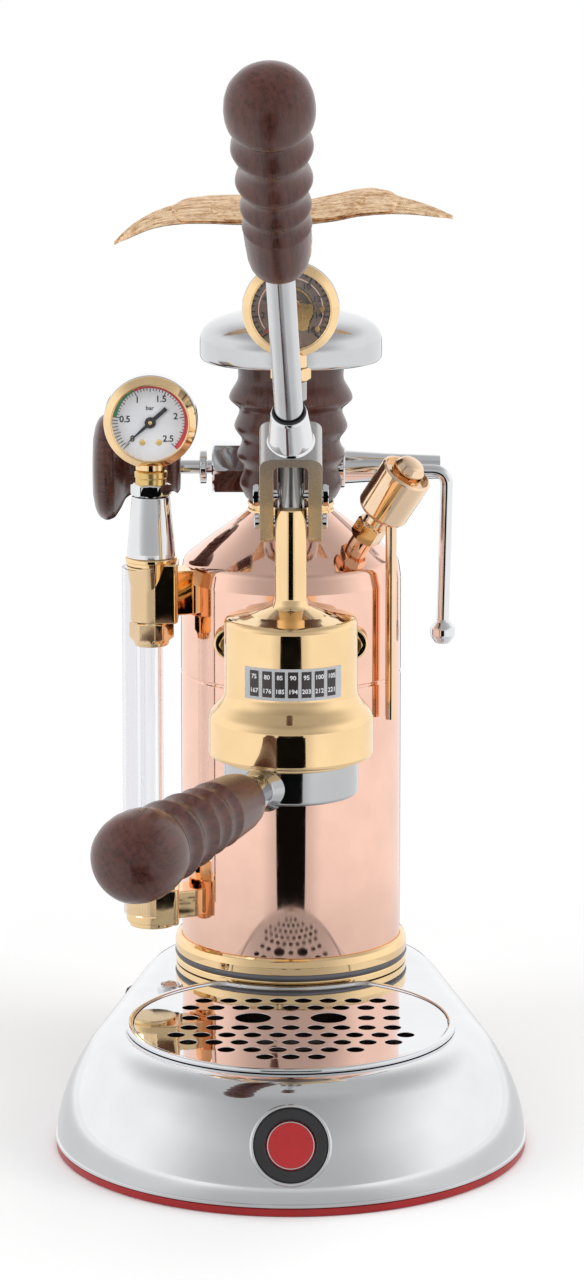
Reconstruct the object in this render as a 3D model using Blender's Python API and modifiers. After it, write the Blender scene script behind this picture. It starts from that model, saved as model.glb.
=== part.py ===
"""Lever espresso machine: copper boiler, lever group, sight glass and steam tap on a polished base.

Metres, +Z up. The origin lies on the underside of the bottom plate. -Y is the front, where the
lever, the portafilter and the drip tray are, and +X is the machine's right as seen from the front.
"""

import math

import bmesh
import bpy
from mathutils import Matrix, Vector

# Fits: the gap between pieces that touch, and how far a cutter overruns a face
gap = 0.0003
overrun = 0.002

# Group and boiler: the flange between them sets the boiler's place
group_axis_y = -0.023
group_flange_y = 0.0070
group_flange_thickness = 0.0050
saddle_reach = 0.0062
boiler_radius = 0.0495
boiler_axis_y = group_flange_y + group_flange_thickness + gap + saddle_reach + boiler_radius

# Base housing: a front circle about the drip tray and a rear circle about the boiler
tray_axis_y = -0.040
base_front_radius = 0.101
base_rear_reach = 0.0320
base_rear_radius = boiler_radius + base_rear_reach
base_top_z = 0.051
base_wall = 0.0012
flank_inset = 0.020
flank_curve_share = 1.9
base_bead_height = 0.0016
base_bead_reach = 0.0006
trim_height = 0.0032
trim_width = 0.0035
trim_reach = 0.0004
bottom_plate_thickness = 0.0012

# Emblem, pilot lamp, switch and cord gland
badge_radius = 0.0170
badge_rim = 0.0022
badge_rim_height = 0.0012
badge_thickness = 0.0050
badge_height_share = 0.52
lamp_x = -0.0535
lamp_y = 0.0165
lamp_radius = 0.0058
lamp_height = 0.0022
lamp_stem_radius = 0.0040
lamp_stem_length = 0.0120
lens_radius = 0.0041
lens_height = 0.0024
switch_azimuth = 158
switch_height_share = 0.42
switch_width = 0.0220
switch_height = 0.0150
switch_rim = 0.0016
switch_depth = 0.0140
switch_proud = 0.0020
rocker_width = 0.0060
rocker_thickness = 0.0060
gland_radius = 0.0075
gland_flange = 0.0030
gland_stem_radius = 0.0050
gland_bore_radius = 0.0034
gland_length = 0.0160
gland_z = 0.0170

# Drip tray: a round bowl with a bite that clears the boiler's foot
tray_radius = 0.0710
bite_reach = 0.0050
bite_radius = boiler_radius + bite_reach
tray_corner_radius = 0.0110
tray_rim_height = 0.0020
tray_rim_width = 0.0030
tray_step_depth = 0.0008
tray_step_width = 0.0030
tray_wall = 0.0008
tray_depth = 0.0270
tray_floor_inset = 0.0034
grille_thickness = 0.0012
grille_pitch = 0.0109
finger_row_pitch = 0.0150
finger_row_y = -0.0346
grille_hole_radius = 0.00375
finger_hole_radius = 0.00775

# Boiler and its foot
boiler_wall = 0.0012
seat_ring_reach = 0.0028
seat_ring_radius = boiler_radius + seat_ring_reach
seat_ring_height = 0.0033
foot_gasket_height = 0.0011
foot_gasket_reach = 0.0021
foot_gasket_radius = boiler_radius + foot_gasket_reach
foot_ring_reach = 0.0030
foot_ring_radius = boiler_radius + foot_ring_reach
foot_ring_height = 0.0079
foot_ring_shelf = 0.0020
foot_collar_inset = 0.0052
foot_collar_radius = boiler_radius - foot_collar_inset
foot_collar_wall = 0.0028
foot_collar_drop = 0.0163
ring_nut_reach = 0.0025
ring_nut_radius = boiler_radius + ring_nut_reach
ring_nut_height = 0.0070
boiler_shoulder_z = 0.2385
shoulder_round_height = 0.0070
shoulder_round_width = 0.0035
boiler_mouth_z = 0.2597
boiler_mouth_radius = 0.0170
element_flange_inset = 0.0035
element_flange_radius = boiler_radius - element_flange_inset
element_flange_thickness = 0.0042
element_plug_height = 0.0050
element_rod_radius = 0.0032
element_spread = 0.0130
element_top_z = 0.1200
element_tail = 0.0060
group_port_radius = 0.0050

# Filler neck and boiler cap
neck_radius = 0.0193
neck_top_z = 0.2624
neck_bore_radius = 0.0135
neck_thread_depth = 0.0014
neck_depth = 0.0104
cap_gasket_thickness = 0.0010
insert_flange_thickness = 0.0018
insert_flange_radius = 0.0165
insert_stud_radius = 0.0100
insert_stud_height = 0.0360
insert_plug_depth = 0.0100
cap_grip_radius = 0.0280
cap_grip_height = 0.0616
dome_radius = 0.0420
dome_band_height = 0.0096
dome_rise = 0.0127
dome_lip = 0.0012
dome_hub_radius = 0.0250
dome_recess_height = 0.0080

# Eagle
eagle_height = 0.0440
eagle_body_radius = 0.0090
eagle_body_height = 0.0360
eagle_perch_radius = 0.0080
eagle_perch_height = 0.0030
eagle_leg_radius = 0.0024
eagle_leg_spread = 0.0045
eagle_head_radius = 0.0055
eagle_head_reach = 0.0050
eagle_beak_radius = 0.0020
eagle_beak_length = 0.0070
eagle_tail_width = 0.0130
eagle_tail_length = 0.0260
eagle_tail_thickness = 0.0030
left_wing_span = 0.0790
right_wing_span = 0.0725
left_wing_drop = 0.0120
right_wing_drop = 0.0040
wing_arch = 0.0060
wing_chord = 0.0320
wing_thickness = 0.0050
wing_pitch = 14
wing_root_z_share = 0.98

# Group head: bell, tower, sleeve and seals
bell_foot_z = 0.165
bell_radius = 0.0287
flare_radius = 0.0356
flare_top_z = 0.1825
flare_start_z = 0.1940
bell_shoulder_z = 0.2190
bell_lip_radius = 0.0297
bell_lip_height = 0.0032
ear_room_radius = 0.0319
ear_room_height = 0.0068
gasket_seat_radius = 0.0306
gasket_seat_height = 0.0062
bell_bore_radius = 0.0254
bell_ceiling_z = 0.2270
bell_crown_z = 0.2295
tower_half_width = 0.0068
tower_top_z = 0.2753
tower_foot_z = 0.2275
tower_front_reach = 0.0022
tower_rear_reach = 0.0130
tower_round = 0.0020
group_gasket_wall = 0.0048
group_gasket_height = 0.0056
sleeve_wall = 0.0029
sleeve_foot_z = 0.1775
sleeve_top_z = 0.2192
screen_thickness = 0.0016
entry_slot_width = 0.0220
group_neck_z = 0.209
group_neck_radius = 0.0110
flange_lobe_radius = 0.0072
flange_lobe_spread = 0.0265
flange_web_radius = 0.0150
boiler_flange_thickness = 0.0170

# Piston, rod and pins
piston_radius = 0.0218
piston_foot_z = 0.2030
piston_height = 0.0135
seal_height = 0.0018
seal_depth = 0.0020
seal_reach = 0.0001
lower_seal_share = 0.18
upper_seal_share = 0.66
rod_radius = 0.0059
rod_shoulder_z = 0.2960
rod_neck_radius = 0.0045
rod_neck_top_z = 0.3210
rod_head_radius = 0.0068
rod_hex_z = 0.3300
rod_hex_height = 0.0052
rod_hex_radius = 0.0086
piston_stroke = 0.0205
pin_radius = 0.0025
piston_pin_z = 0.2800
piston_pin_head_radius = 0.0048
piston_pin_head = 0.0026
fulcrum_offset = 0.0111
fulcrum_z = 0.2668
fulcrum_head_radius = 0.0034
fulcrum_head = 0.0022

# Lever, in its own frame: the fulcrum is the origin and +Z runs up the lever
lever_elevation = 50
lever_lean = 1.9
fork_half_width = 0.0133
fork_inner_half_width = 0.00745
fork_half_depth = 0.0108
fork_eye_radius = 0.0090
fork_bridge_z = 0.0480
fork_bridge_thickness = 0.0050
fork_taper_z = 0.0260
slot_half_width = 0.0042
slot_start_z = 0.0114
slot_end_z = 0.0186
socket_foot_radius = 0.0108
socket_mouth_radius = 0.0088
socket_length = 0.0180
socket_floor = 0.0020
lever_rod_radius = 0.00605
lever_rod_grip_depth = 0.0360
lever_grip_z = 0.1590
grip_length = 0.1120
grip_radius = 0.0189

# Portafilter, in its own frame: the group's axis, with the handle along -Y
handle_turn = -25.4
lock_turn = 45
portafilter_radius = 0.0292
portafilter_bore_radius = 0.0260
portafilter_foot_z = 0.1504
portafilter_top_z = 0.1736
ear_radius = 0.0314
ear_width = 0.0180
ear_height = 0.0047
handle_z = 0.1540
ferrule_start = 0.0270
ferrule_end = 0.0500
ferrule_root_radius = 0.0072
ferrule_radius = 0.0090
tang_radius = 0.0050
tang_length = 0.0300
basket_lip_radius = 0.0286
basket_lip_thickness = 0.0009
basket_radius = 0.0256
basket_wall = 0.0007
basket_foot_radius = 0.0252
basket_foot_z = 0.1529

# Gauges
gauge_radius = 0.0205
gauge_half_depth = 0.0080
gauge_rim = 0.0024
gauge_floor_depth = 0.0040
gauge_band = 0.0045
gauge_band_step = 0.0008
gauge_back_round = 0.0015
piston_gauge_z = 0.3605
boiler_gauge_rise = 0.0330
gauge_stem_radius = 0.0068
pointer_length = 0.0150
pointer_tail = 0.0060
pointer_width = 0.0016
pointer_thickness = 0.0008
pointer_hub_radius = 0.0030
pointer_rest = 225

# Sight glass, on a column beside the boiler
column_reach = 0.0125
column_setback = 0.0250
column_x = -boiler_radius - column_reach
column_y = boiler_axis_y - column_setback
fitting_radius = 0.0102
top_fitting_drop = 0.0275
top_fitting_height = 0.0260
top_fitting_foot_z = boiler_shoulder_z - top_fitting_drop
top_fitting_top_z = top_fitting_foot_z + top_fitting_height
top_ring_radius = 0.0114
top_ring_height = 0.0030
cone_top_radius = 0.00835
cone_foot_radius = 0.0106
cone_rise = 0.0320
cone_top_z = top_fitting_top_z + cone_rise
column_hex_height = 0.0050
column_hex_radius = 0.0090
bottom_fitting_foot_z = 0.0720
bottom_fitting_top_z = 0.0900
bottom_fitting_radius = 0.0114
sight_arm_radius = 0.0060
top_arm_rise = 0.0130
top_arm_z = top_fitting_foot_z + top_arm_rise
bottom_arm_z = 0.0810
sight_nut_radius = 0.0099
sight_nut_height = 0.0110
glass_radius = 0.0050
glass_wall = 0.0014
glass_seat_depth = 0.0070
guard_radius = 0.0130
guard_wall = 0.0012
guard_foot_z = 0.0795

# Steam tap behind the boiler cap
steam_setback = 0.0350
steam_y = boiler_axis_y + steam_setback
steam_z = 0.2718
valve_left_x = -0.0359
valve_hex_end_x = -0.0140
valve_right_x = 0.0246
valve_hex_radius = 0.0124
valve_mid_radius = 0.0100
valve_cap_radius = 0.0095
valve_cap_x = 0.0140
gland_nut_radius = 0.0076
gland_nut_x = -0.0415
gland_nut_thickness = 0.0029
gland_collar_radius = 0.0059
arm_root_radius = 0.0077
arm_end_radius = 0.0054
arm_end_x = 0.0680
arm_round = 0.0020
valve_stem_radius = 0.0060
valve_nut_radius = 0.0085
valve_nut_z = 0.2560
valve_nut_height = 0.0060
spindle_radius = 0.0032
spindle_left_x = -0.0620
spindle_right_x = -0.0200
knob_right_x = -0.0504
knob_length = 0.0399
knob_radius = 0.0245
wand_x = 0.0560
wand_setback = 0.0110
wand_y = steam_y - wand_setback
wand_boss_radius = 0.0036
wand_hub_radius = 0.0046
wand_hub_length = 0.0080
wand_radius = 0.0028
wand_bend_radius = 0.0090
wand_drop_x = 0.0710
wand_tip_z = 0.1975
wand_tip_x = 0.0692
wand_tip_radius = 0.0056

# Safety valve, tilted square to the boiler's shoulder
relief_azimuth = -35
relief_inset = 0.0128
relief_reach = boiler_radius - relief_inset
relief_stem_radius = 0.0050
relief_hex_radius = 0.0071
relief_hex_z = 0.0050
relief_hex_height = 0.0090
relief_cup_z = 0.0199
relief_cup_length = 0.0243
relief_cup_radius = 0.01175
relief_cup_wall = 0.0014
relief_dome_radius = 0.0070
relief_dome_height = 0.0066
drain_offset = 0.0085
drain_radius = 0.00215
drain_bore_radius = 0.0014
drain_bore_depth = 0.0100
drain_start = 0.0030
drain_foot_z = 0.1690

# Pressure switch on the bottom plate
pressurestat_x = -0.0200
pressurestat_setback = 0.0340
pressurestat_y = boiler_axis_y + pressurestat_setback
pressurestat_width = 0.0340
pressurestat_length = 0.0260
pressurestat_height = 0.0200
pressurestat_round = 0.0020

# How round the round pieces are
fine_steps = 32
medium_steps = 22
small_steps = 14
hole_steps = 6

# Outlines as shares of the sizes named beside them, from the handle end up
# (share of grip_length, share of grip_radius)
grip_shares = (
    (0.000, 0.40), (0.031, 0.625), (0.143, 0.709), (0.250, 0.757), (0.295, 0.672),
    (0.324, 0.778), (0.388, 0.690), (0.451, 0.841), (0.531, 0.735), (0.616, 0.900),
    (0.692, 0.783), (0.710, 0.905), (0.830, 1.000), (0.930, 0.810), (0.985, 0.360),
    (1.000, 0.000),
)
# (share of cap_grip_height, share of cap_grip_radius), from the foot up
cap_grip_shares = (
    (0.000, 0.685), (0.094, 0.821), (0.216, 0.721), (0.313, 0.868), (0.419, 0.782),
    (0.523, 0.929), (0.638, 0.836), (0.732, 1.000), (0.890, 0.846), (1.000, 0.850),
)
# (share of knob_length, share of knob_radius), from the spindle end out
knob_shares = (
    (0.000, 0.44), (0.020, 0.48), (0.624, 0.518), (0.694, 0.804), (0.777, 0.992),
    (0.852, 1.000), (0.927, 0.931), (1.000, 0.571),
)
# Drip grille: (rows from the finger row, columns in pitches from the middle)
whole_column_shares = (-4, -3, -2, -1, 0, 1, 2, 3, 4)
grille_row_shares = (
    (2, (-3.5, -2.5, -1.5, -0.5, 0.5, 1.5, 2.5, 3.5)),
    (1, whole_column_shares),
    (0, (-4, -3, 0, 3, 4)),
    (-1, whole_column_shares),
    (-2, (-4.5, -3.5, -2.5, -1.5, -0.5, 0.5, 1.5, 2.5, 3.5, 4.5)),
    (-3, whole_column_shares),
    (-4, (-2.5, -1.5, -0.5, 0.5, 1.5, 2.5)),
    (-5, (-1, 0, 1)),
)
finger_column_share = 1.5
# Wing sections: (share of span, share of arch, share of drop, share of chord)
wing_shares = (
    (0.03, 0.0, 0.0, 0.80), (0.25, 0.7, 0.0, 1.00), (0.50, 1.0, 0.05, 0.95),
    (0.72, 0.7, 0.30, 0.62), (0.90, 0.3, 0.72, 0.42), (1.00, 0.0, 1.0, 0.18),
)

# Places worked out from the sizes above
shell_foot_z = trim_height + gap
tray_bead_z = base_top_z + gap
seat_ring_z = base_top_z + gap
foot_gasket_z = seat_ring_z + seat_ring_height + gap
foot_ring_z = foot_gasket_z + foot_gasket_height + gap
boiler_foot_z = foot_ring_z + foot_ring_shelf + gap
cone_slope_share = (boiler_mouth_z - boiler_shoulder_z) / (
    boiler_radius - shoulder_round_width - boiler_mouth_radius
)
cap_z = neck_top_z + gap + cap_gasket_thickness + gap
dome_z = cap_z + cap_grip_height + gap
perch_z = dome_z + dome_band_height + dome_rise + gap
fulcrum_y = group_axis_y + fulcrum_offset
pin_end_x = fork_half_width + gap
relief_tilt = math.degrees(math.atan(cone_slope_share))
boiler_gauge_z = cone_top_z + boiler_gauge_rise
boiler_axis = Vector((0, boiler_axis_y, 0))

parts = bpy.data.collections.new("lever_espresso_machine")
helpers = bpy.data.collections.new("cutters")


def clear_scene():
    for thing in list(bpy.data.objects):
        bpy.data.objects.remove(thing, do_unlink=True)
    bpy.context.scene.collection.children.link(parts)
    bpy.context.scene.collection.children.link(helpers)


def material(name, color, roughness, metallic, alpha=1.0):
    """A Principled material with one colour."""
    made = bpy.data.materials.new(name)
    made.use_nodes = True
    shader = made.node_tree.nodes["Principled BSDF"]
    shader.inputs["Base Color"].default_value = (*color, 1.0)
    shader.inputs["Roughness"].default_value = roughness
    shader.inputs["Metallic"].default_value = metallic
    shader.inputs["Alpha"].default_value = alpha
    return made


def materials():
    return {
        "chrome": material("chrome", (0.80, 0.81, 0.83), 0.08, 1.0),
        "steel": material("steel", (0.62, 0.60, 0.57), 0.30, 1.0),
        "copper": material("copper", (0.90, 0.56, 0.45), 0.12, 1.0),
        "gold": material("gold", (0.92, 0.68, 0.35), 0.12, 1.0),
        "brass": material("brass", (0.80, 0.58, 0.28), 0.25, 1.0),
        "wood": material("wood", (0.22, 0.09, 0.06), 0.30, 0.0),
        "rubber": material("rubber", (0.05, 0.05, 0.06), 0.70, 0.0),
        "red": material("red_trim", (0.65, 0.03, 0.03), 0.40, 0.0),
        "black": material("black_plastic", (0.03, 0.03, 0.03), 0.35, 0.0),
        "glass": material("glass", (0.92, 0.95, 0.97), 0.03, 0.0, 0.35),
        "white": material("dial", (0.88, 0.88, 0.90), 0.50, 0.0),
    }


def add_object(name, mesh, finish=None, location=(0, 0, 0), rotation=(0, 0, 0), parent=None):
    """Links a mesh as a part, or as a hidden helper where no finish is given."""
    made = bpy.data.objects.new(name, mesh)
    made.location = location
    made.rotation_euler = rotation
    made.parent = parent
    if finish is None:
        helpers.objects.link(made)
        made.hide_render = True
        made.display_type = "WIRE"
    else:
        parts.objects.link(made)
        made.data.materials.append(finish)
        made.data.shade_smooth()
        made.data.set_sharp_from_angle(angle=math.radians(35))
    return made


def mesh_from(name, shape):
    bmesh.ops.recalc_face_normals(shape, faces=shape.faces)
    mesh = bpy.data.meshes.new(name)
    shape.to_mesh(mesh)
    shape.free()
    return mesh


def turned(name, profile, finish=None, steps=medium_steps, **place):
    """A profile of (radius, height) points, turned about local Z. It runs down the outer side,
    and closes on itself unless both ends lie on the axis."""
    mesh = bpy.data.meshes.new(name)
    points = [(radius, 0, height) for radius, height in profile]
    edges = [(i, i + 1) for i in range(len(points) - 1)]
    if profile[0][0] > 0 or profile[-1][0] > 0:
        edges.append((len(points) - 1, 0))
    mesh.from_pydata(points, edges, [])
    made = add_object(name, mesh, finish, **place)
    screw = made.modifiers.new("turn", "SCREW")
    screw.axis = "Z"
    screw.angle = math.tau
    screw.steps = steps
    screw.render_steps = steps
    screw.use_merge_vertices = True
    screw.merge_threshold = gap / 30
    screw.use_smooth_shade = True
    return made


def cylinder(name, radius, low, high, finish=None, steps=medium_steps, **place):
    """A round bar along local Z from low to high, or a hexagon with six steps."""
    shape = bmesh.new()
    bmesh.ops.create_cone(
        shape, cap_ends=True, segments=steps, radius1=radius, radius2=radius, depth=high - low
    )
    bmesh.ops.translate(shape, verts=shape.verts, vec=(0, 0, (high + low) / 2))
    return add_object(name, mesh_from(name, shape), finish, **place)


def box(name, size, finish=None, **place):
    shape = bmesh.new()
    bmesh.ops.create_cube(shape, size=1)
    bmesh.ops.scale(shape, verts=shape.verts, vec=size)
    return add_object(name, mesh_from(name, shape), finish, **place)


def ball(name, radii, finish=None, **place):
    shape = bmesh.new()
    bmesh.ops.create_uvsphere(shape, u_segments=12, v_segments=8, radius=1)
    bmesh.ops.scale(shape, verts=shape.verts, vec=radii)
    return add_object(name, mesh_from(name, shape), finish, **place)


def lofted(name, rings, finish=None, **place):
    """A closed body through rings of as many points each, with a face over both end rings."""
    shape = bmesh.new()
    rows = [[shape.verts.new(point) for point in ring] for ring in rings]
    count = len(rows[0])
    for low, high in zip(rows, rows[1:]):
        for i in range(count):
            j = (i + 1) % count
            shape.faces.new((low[i], low[j], high[j], high[i]))
    shape.faces.new(list(reversed(rows[0])))
    shape.faces.new(rows[-1])
    return add_object(name, mesh_from(name, shape), finish, **place)


def ring_body(name, outer, inner, low, high, finish):
    """A flat band between two outlines of as many points each."""
    shape = bmesh.new()
    rows = []
    for outline, z in ((outer, low), (outer, high), (inner, high), (inner, low)):
        rows.append([shape.verts.new((x, y, z)) for x, y in outline])
    count = len(outer)
    for row, following in zip(rows, rows[1:] + rows[:1]):
        for i in range(count):
            j = (i + 1) % count
            shape.faces.new((row[i], row[j], following[j], following[i]))
    return add_object(name, mesh_from(name, shape), finish)


def tube(name, points, radius, finish=None, resolution=2, **place):
    """A round bar along points, as a mesh with welded caps."""
    curve = bpy.data.curves.new(name, "CURVE")
    curve.dimensions = "3D"
    curve.bevel_depth = radius
    curve.bevel_resolution = resolution
    curve.use_fill_caps = True
    spline = curve.splines.new("POLY")
    spline.points.add(len(points) - 1)
    for spot, point in zip(spline.points, points):
        spot.co = (*point, 1)
    guide = bpy.data.objects.new(name + "_guide", curve)
    helpers.objects.link(guide)
    bpy.context.view_layer.update()
    graph = bpy.context.evaluated_depsgraph_get()
    mesh = bpy.data.meshes.new_from_object(guide.evaluated_get(graph))
    bpy.data.objects.remove(guide, do_unlink=True)
    shape = bmesh.new()
    shape.from_mesh(mesh)
    bmesh.ops.remove_doubles(shape, verts=shape.verts, dist=gap / 30)
    mesh.materials.clear()
    bpy.data.meshes.remove(mesh)
    return add_object(name, mesh_from(name, shape), finish, **place)


def change(piece, helper, operation):
    modifier = piece.modifiers.new(operation.lower() + "_" + helper.name, "BOOLEAN")
    modifier.operation = operation
    modifier.object = helper
    modifier.solver = "EXACT"


def cut(piece, *cutters):
    for cutter in cutters:
        change(piece, cutter, "DIFFERENCE")


def join(piece, *others):
    for other in others:
        change(piece, other, "UNION")


def keep(piece, *others):
    for other in others:
        change(piece, other, "INTERSECT")


def frame(name, location, rotation=(0, 0, 0)):
    """An empty that holds a moving piece's joint axis."""
    made = bpy.data.objects.new(name, None)
    made.location = location
    made.rotation_euler = rotation
    parts.objects.link(made)
    return made


def arc(centre, radius, start, end, steps):
    """Points from start to end, in degrees, both ends included."""
    turns = [math.radians(start + (end - start) * i / steps) for i in range(steps + 1)]
    return [(centre[0] + radius * math.cos(t), centre[1] + radius * math.sin(t)) for t in turns]


def base_outline(inset):
    """The hull of the front and rear circles, drawn in by inset."""
    spread = boiler_axis_y - tray_axis_y
    lean = math.degrees(math.asin((base_front_radius - base_rear_radius) / spread))
    front = arc((0, tray_axis_y), base_front_radius - inset, 180 - lean, 360 + lean, 26)
    rear = arc((0, boiler_axis_y), base_rear_radius - inset, lean, 180 - lean, 18)
    return front + rear


def tray_outline(inset):
    """A circle with a round bite out of its rear, both rounded into each other."""
    radius = tray_radius - inset
    bite = bite_radius + inset
    corner = tray_corner_radius - inset
    spread = boiler_axis_y - tray_axis_y
    rise = ((radius - corner) ** 2 - (bite + corner) ** 2 + spread**2) / (2 * spread)
    side = math.sqrt((radius - corner) ** 2 - rise**2)
    tangent = math.degrees(math.atan2(rise, side))
    inward = math.degrees(math.atan2(spread - rise, -side))
    corner_y = tray_axis_y + rise
    outline = arc((0, tray_axis_y), radius, 180 - tangent, 360 + tangent, 30)
    outline += arc((side, corner_y), corner, tangent, inward, 3)[1:]
    outline += arc((0, boiler_axis_y), bite, inward - 180, -inward, 8)[1:]
    outline += arc((-side, corner_y), corner, 180 - inward, 180 - tangent, 3)[1:-1]
    return outline


def level(outline, z):
    return [(x, y, z) for x, y in outline]


def flank(share):
    """(inset, height) of the base's flank, from 0 at its foot to 1 at the top's edge."""
    height = shell_foot_z + share * (base_top_z - shell_foot_z)
    return flank_inset * share**flank_curve_share, height


def flank_tilt(share):
    """How far the flank leans from upright at this share of its height, in degrees."""
    rate = flank_inset * flank_curve_share * share ** (flank_curve_share - 1)
    return math.degrees(math.atan2(rate, base_top_z - shell_foot_z))


def base(finish):
    shares = [i / 4 for i in range(5)]
    foot = base_outline(-base_bead_reach)
    outer = [level(foot, shell_foot_z), level(foot, shell_foot_z + base_bead_height)]
    inner = [level(base_outline(base_wall), shell_foot_z - overrun)]
    for share in shares:
        inset, height = flank(share)
        height = max(height, shell_foot_z + base_bead_height)
        outer.append(level(base_outline(inset), height))
        inner.append(level(base_outline(inset + base_wall), height - base_wall))
    shell = lofted("base_shell", outer, finish["chrome"])
    cut(shell, lofted("base_hollow", inner))
    cut(shell, lofted("tray_opening", [
        level(tray_outline(tray_rim_width - tray_wall - gap), base_top_z - base_wall - overrun),
        level(tray_outline(tray_rim_width - tray_wall - gap), base_top_z + overrun),
    ]))
    cut(shell, cylinder("boiler_opening", foot_collar_radius + gap, base_top_z - base_wall - overrun,
                        base_top_z + overrun, steps=fine_steps, location=boiler_axis))
    ring_body("base_trim", base_outline(-trim_reach), base_outline(trim_width - trim_reach),
                     0, trim_height, finish["red"])
    plate_outline = base_outline(trim_width - trim_reach + gap)
    lofted("bottom_plate", [level(plate_outline, 0), level(plate_outline, bottom_plate_thickness)],
                   finish["steel"])
    return shell


def badge(finish, shell):
    """A round emblem let into the front of the flank."""
    inset, height = flank(badge_height_share)
    place = {
        "location": (0, tray_axis_y - base_front_radius + inset, height),
        "rotation": (math.radians(90 - flank_tilt(badge_height_share)), 0, 0),
    }
    half = badge_thickness / 2
    turned("badge", (
        (0, half - badge_rim_height), (badge_radius - badge_rim, half - badge_rim_height),
        (badge_radius - badge_rim * 0.8, half), (badge_radius - badge_rim * 0.3, half),
        (badge_radius, half - badge_rim_height), (badge_radius, -half), (0, -half),
    ), finish["black"], **place)
    cut(shell, cylinder("badge_hole", badge_radius + gap, -badge_thickness, badge_thickness, **place))


def pilot_lamp(finish, shell):
    place = {"location": (lamp_x, lamp_y, base_top_z)}
    turned("pilot_lamp", (
        (0, gap + lamp_height / 2), (lens_radius + gap, gap + lamp_height / 2),
        (lens_radius + gap, gap + lamp_height), (lamp_radius * 0.88, gap + lamp_height),
        (lamp_radius, gap + lamp_height / 2), (lamp_radius, gap), (lamp_stem_radius, gap),
        (lamp_stem_radius, -lamp_stem_length), (0, -lamp_stem_length),
    ), finish["chrome"], small_steps, **place)
    turned("pilot_lens", (
        (0, lamp_height / 2 + lens_height), (lens_radius * 0.55, lamp_height / 2 + lens_height * 0.85),
        (lens_radius * 0.9, lamp_height / 2 + lens_height * 0.5),
        (lens_radius, lamp_height / 2 + gap * 2), (0, lamp_height / 2 + gap * 2),
    ), finish["glass"], small_steps, **place)
    cut(shell, cylinder("lamp_hole", lamp_stem_radius + gap, -overrun - base_wall, overrun,
                        steps=small_steps, **place))


def power_switch(finish, shell):
    """A rocker in a frame on the rear left of the flank."""
    inset, height = flank(switch_height_share)
    azimuth = math.radians(switch_azimuth)
    reach = base_rear_radius - inset
    spot = Vector((reach * math.cos(azimuth), boiler_axis_y + reach * math.sin(azimuth), height))
    facing = Matrix.Rotation(azimuth + math.radians(90), 4, "Z") @ Matrix.Rotation(
        math.radians(90 - flank_tilt(switch_height_share)), 4, "X"
    )
    turn = facing.to_euler()
    outward = facing.to_3x3() @ Vector((0, 0, 1))
    place = {"location": spot, "rotation": turn}
    size = (switch_width, switch_height, switch_depth)
    centre = spot + outward * (switch_proud - switch_depth / 2)
    housing = box("switch_frame", size, finish["black"], location=centre, rotation=turn)
    well = (switch_width - 2 * switch_rim, switch_height - 2 * switch_rim, switch_depth)
    cut(housing, box("switch_well", well, location=centre + outward * (switch_rim * 2), rotation=turn))
    opening = (switch_width + 2 * gap, switch_height + 2 * gap, switch_depth * 2)
    cut(shell, box("switch_opening", opening, **place))
    rocker_height = switch_height - 2 * switch_rim - 6 * gap
    rocker_length = switch_width - 2 * switch_rim - 2 * gap
    pivot = frame("switch_axis", spot + outward * (switch_proud - rocker_thickness / 2), turn)
    wedge = [
        (-rocker_height / 2, -rocker_thickness / 4), (rocker_height / 2, -rocker_thickness / 4),
        (rocker_height / 2, rocker_thickness * 0.28), (0, rocker_thickness * 0.42),
        (-rocker_height / 2, rocker_thickness * 0.62),
    ]
    lofted("switch_rocker", [
        [(side * rocker_length / 2, y, z) for y, z in wedge] for side in (-1, 1)
    ], finish["red"], parent=pivot)


def cord_gland(finish, shell):
    """The inlet bush at the rear, where a mains lead would enter."""
    inset, _ = flank((gland_z - shell_foot_z) / (base_top_z - shell_foot_z))
    rear_y = boiler_axis_y + base_rear_radius
    place = {"location": (0, rear_y + gap, gland_z), "rotation": (math.radians(-90), 0, 0)}
    turned("cord_gland", (
        (gland_bore_radius * 1.2, gland_flange), (gland_radius * 0.8, gland_flange),
        (gland_radius, gland_flange / 2), (gland_radius, 0), (gland_stem_radius, 0),
        (gland_stem_radius, -gland_length + gland_flange),
        (gland_bore_radius, -gland_length + gland_flange), (gland_bore_radius, gland_flange * 0.7),
    ), finish["rubber"], small_steps, **place)
    cut(shell, cylinder("gland_hole", gland_stem_radius + gap, -inset - 6 * base_wall, overrun,
                        steps=small_steps, **place))


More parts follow.
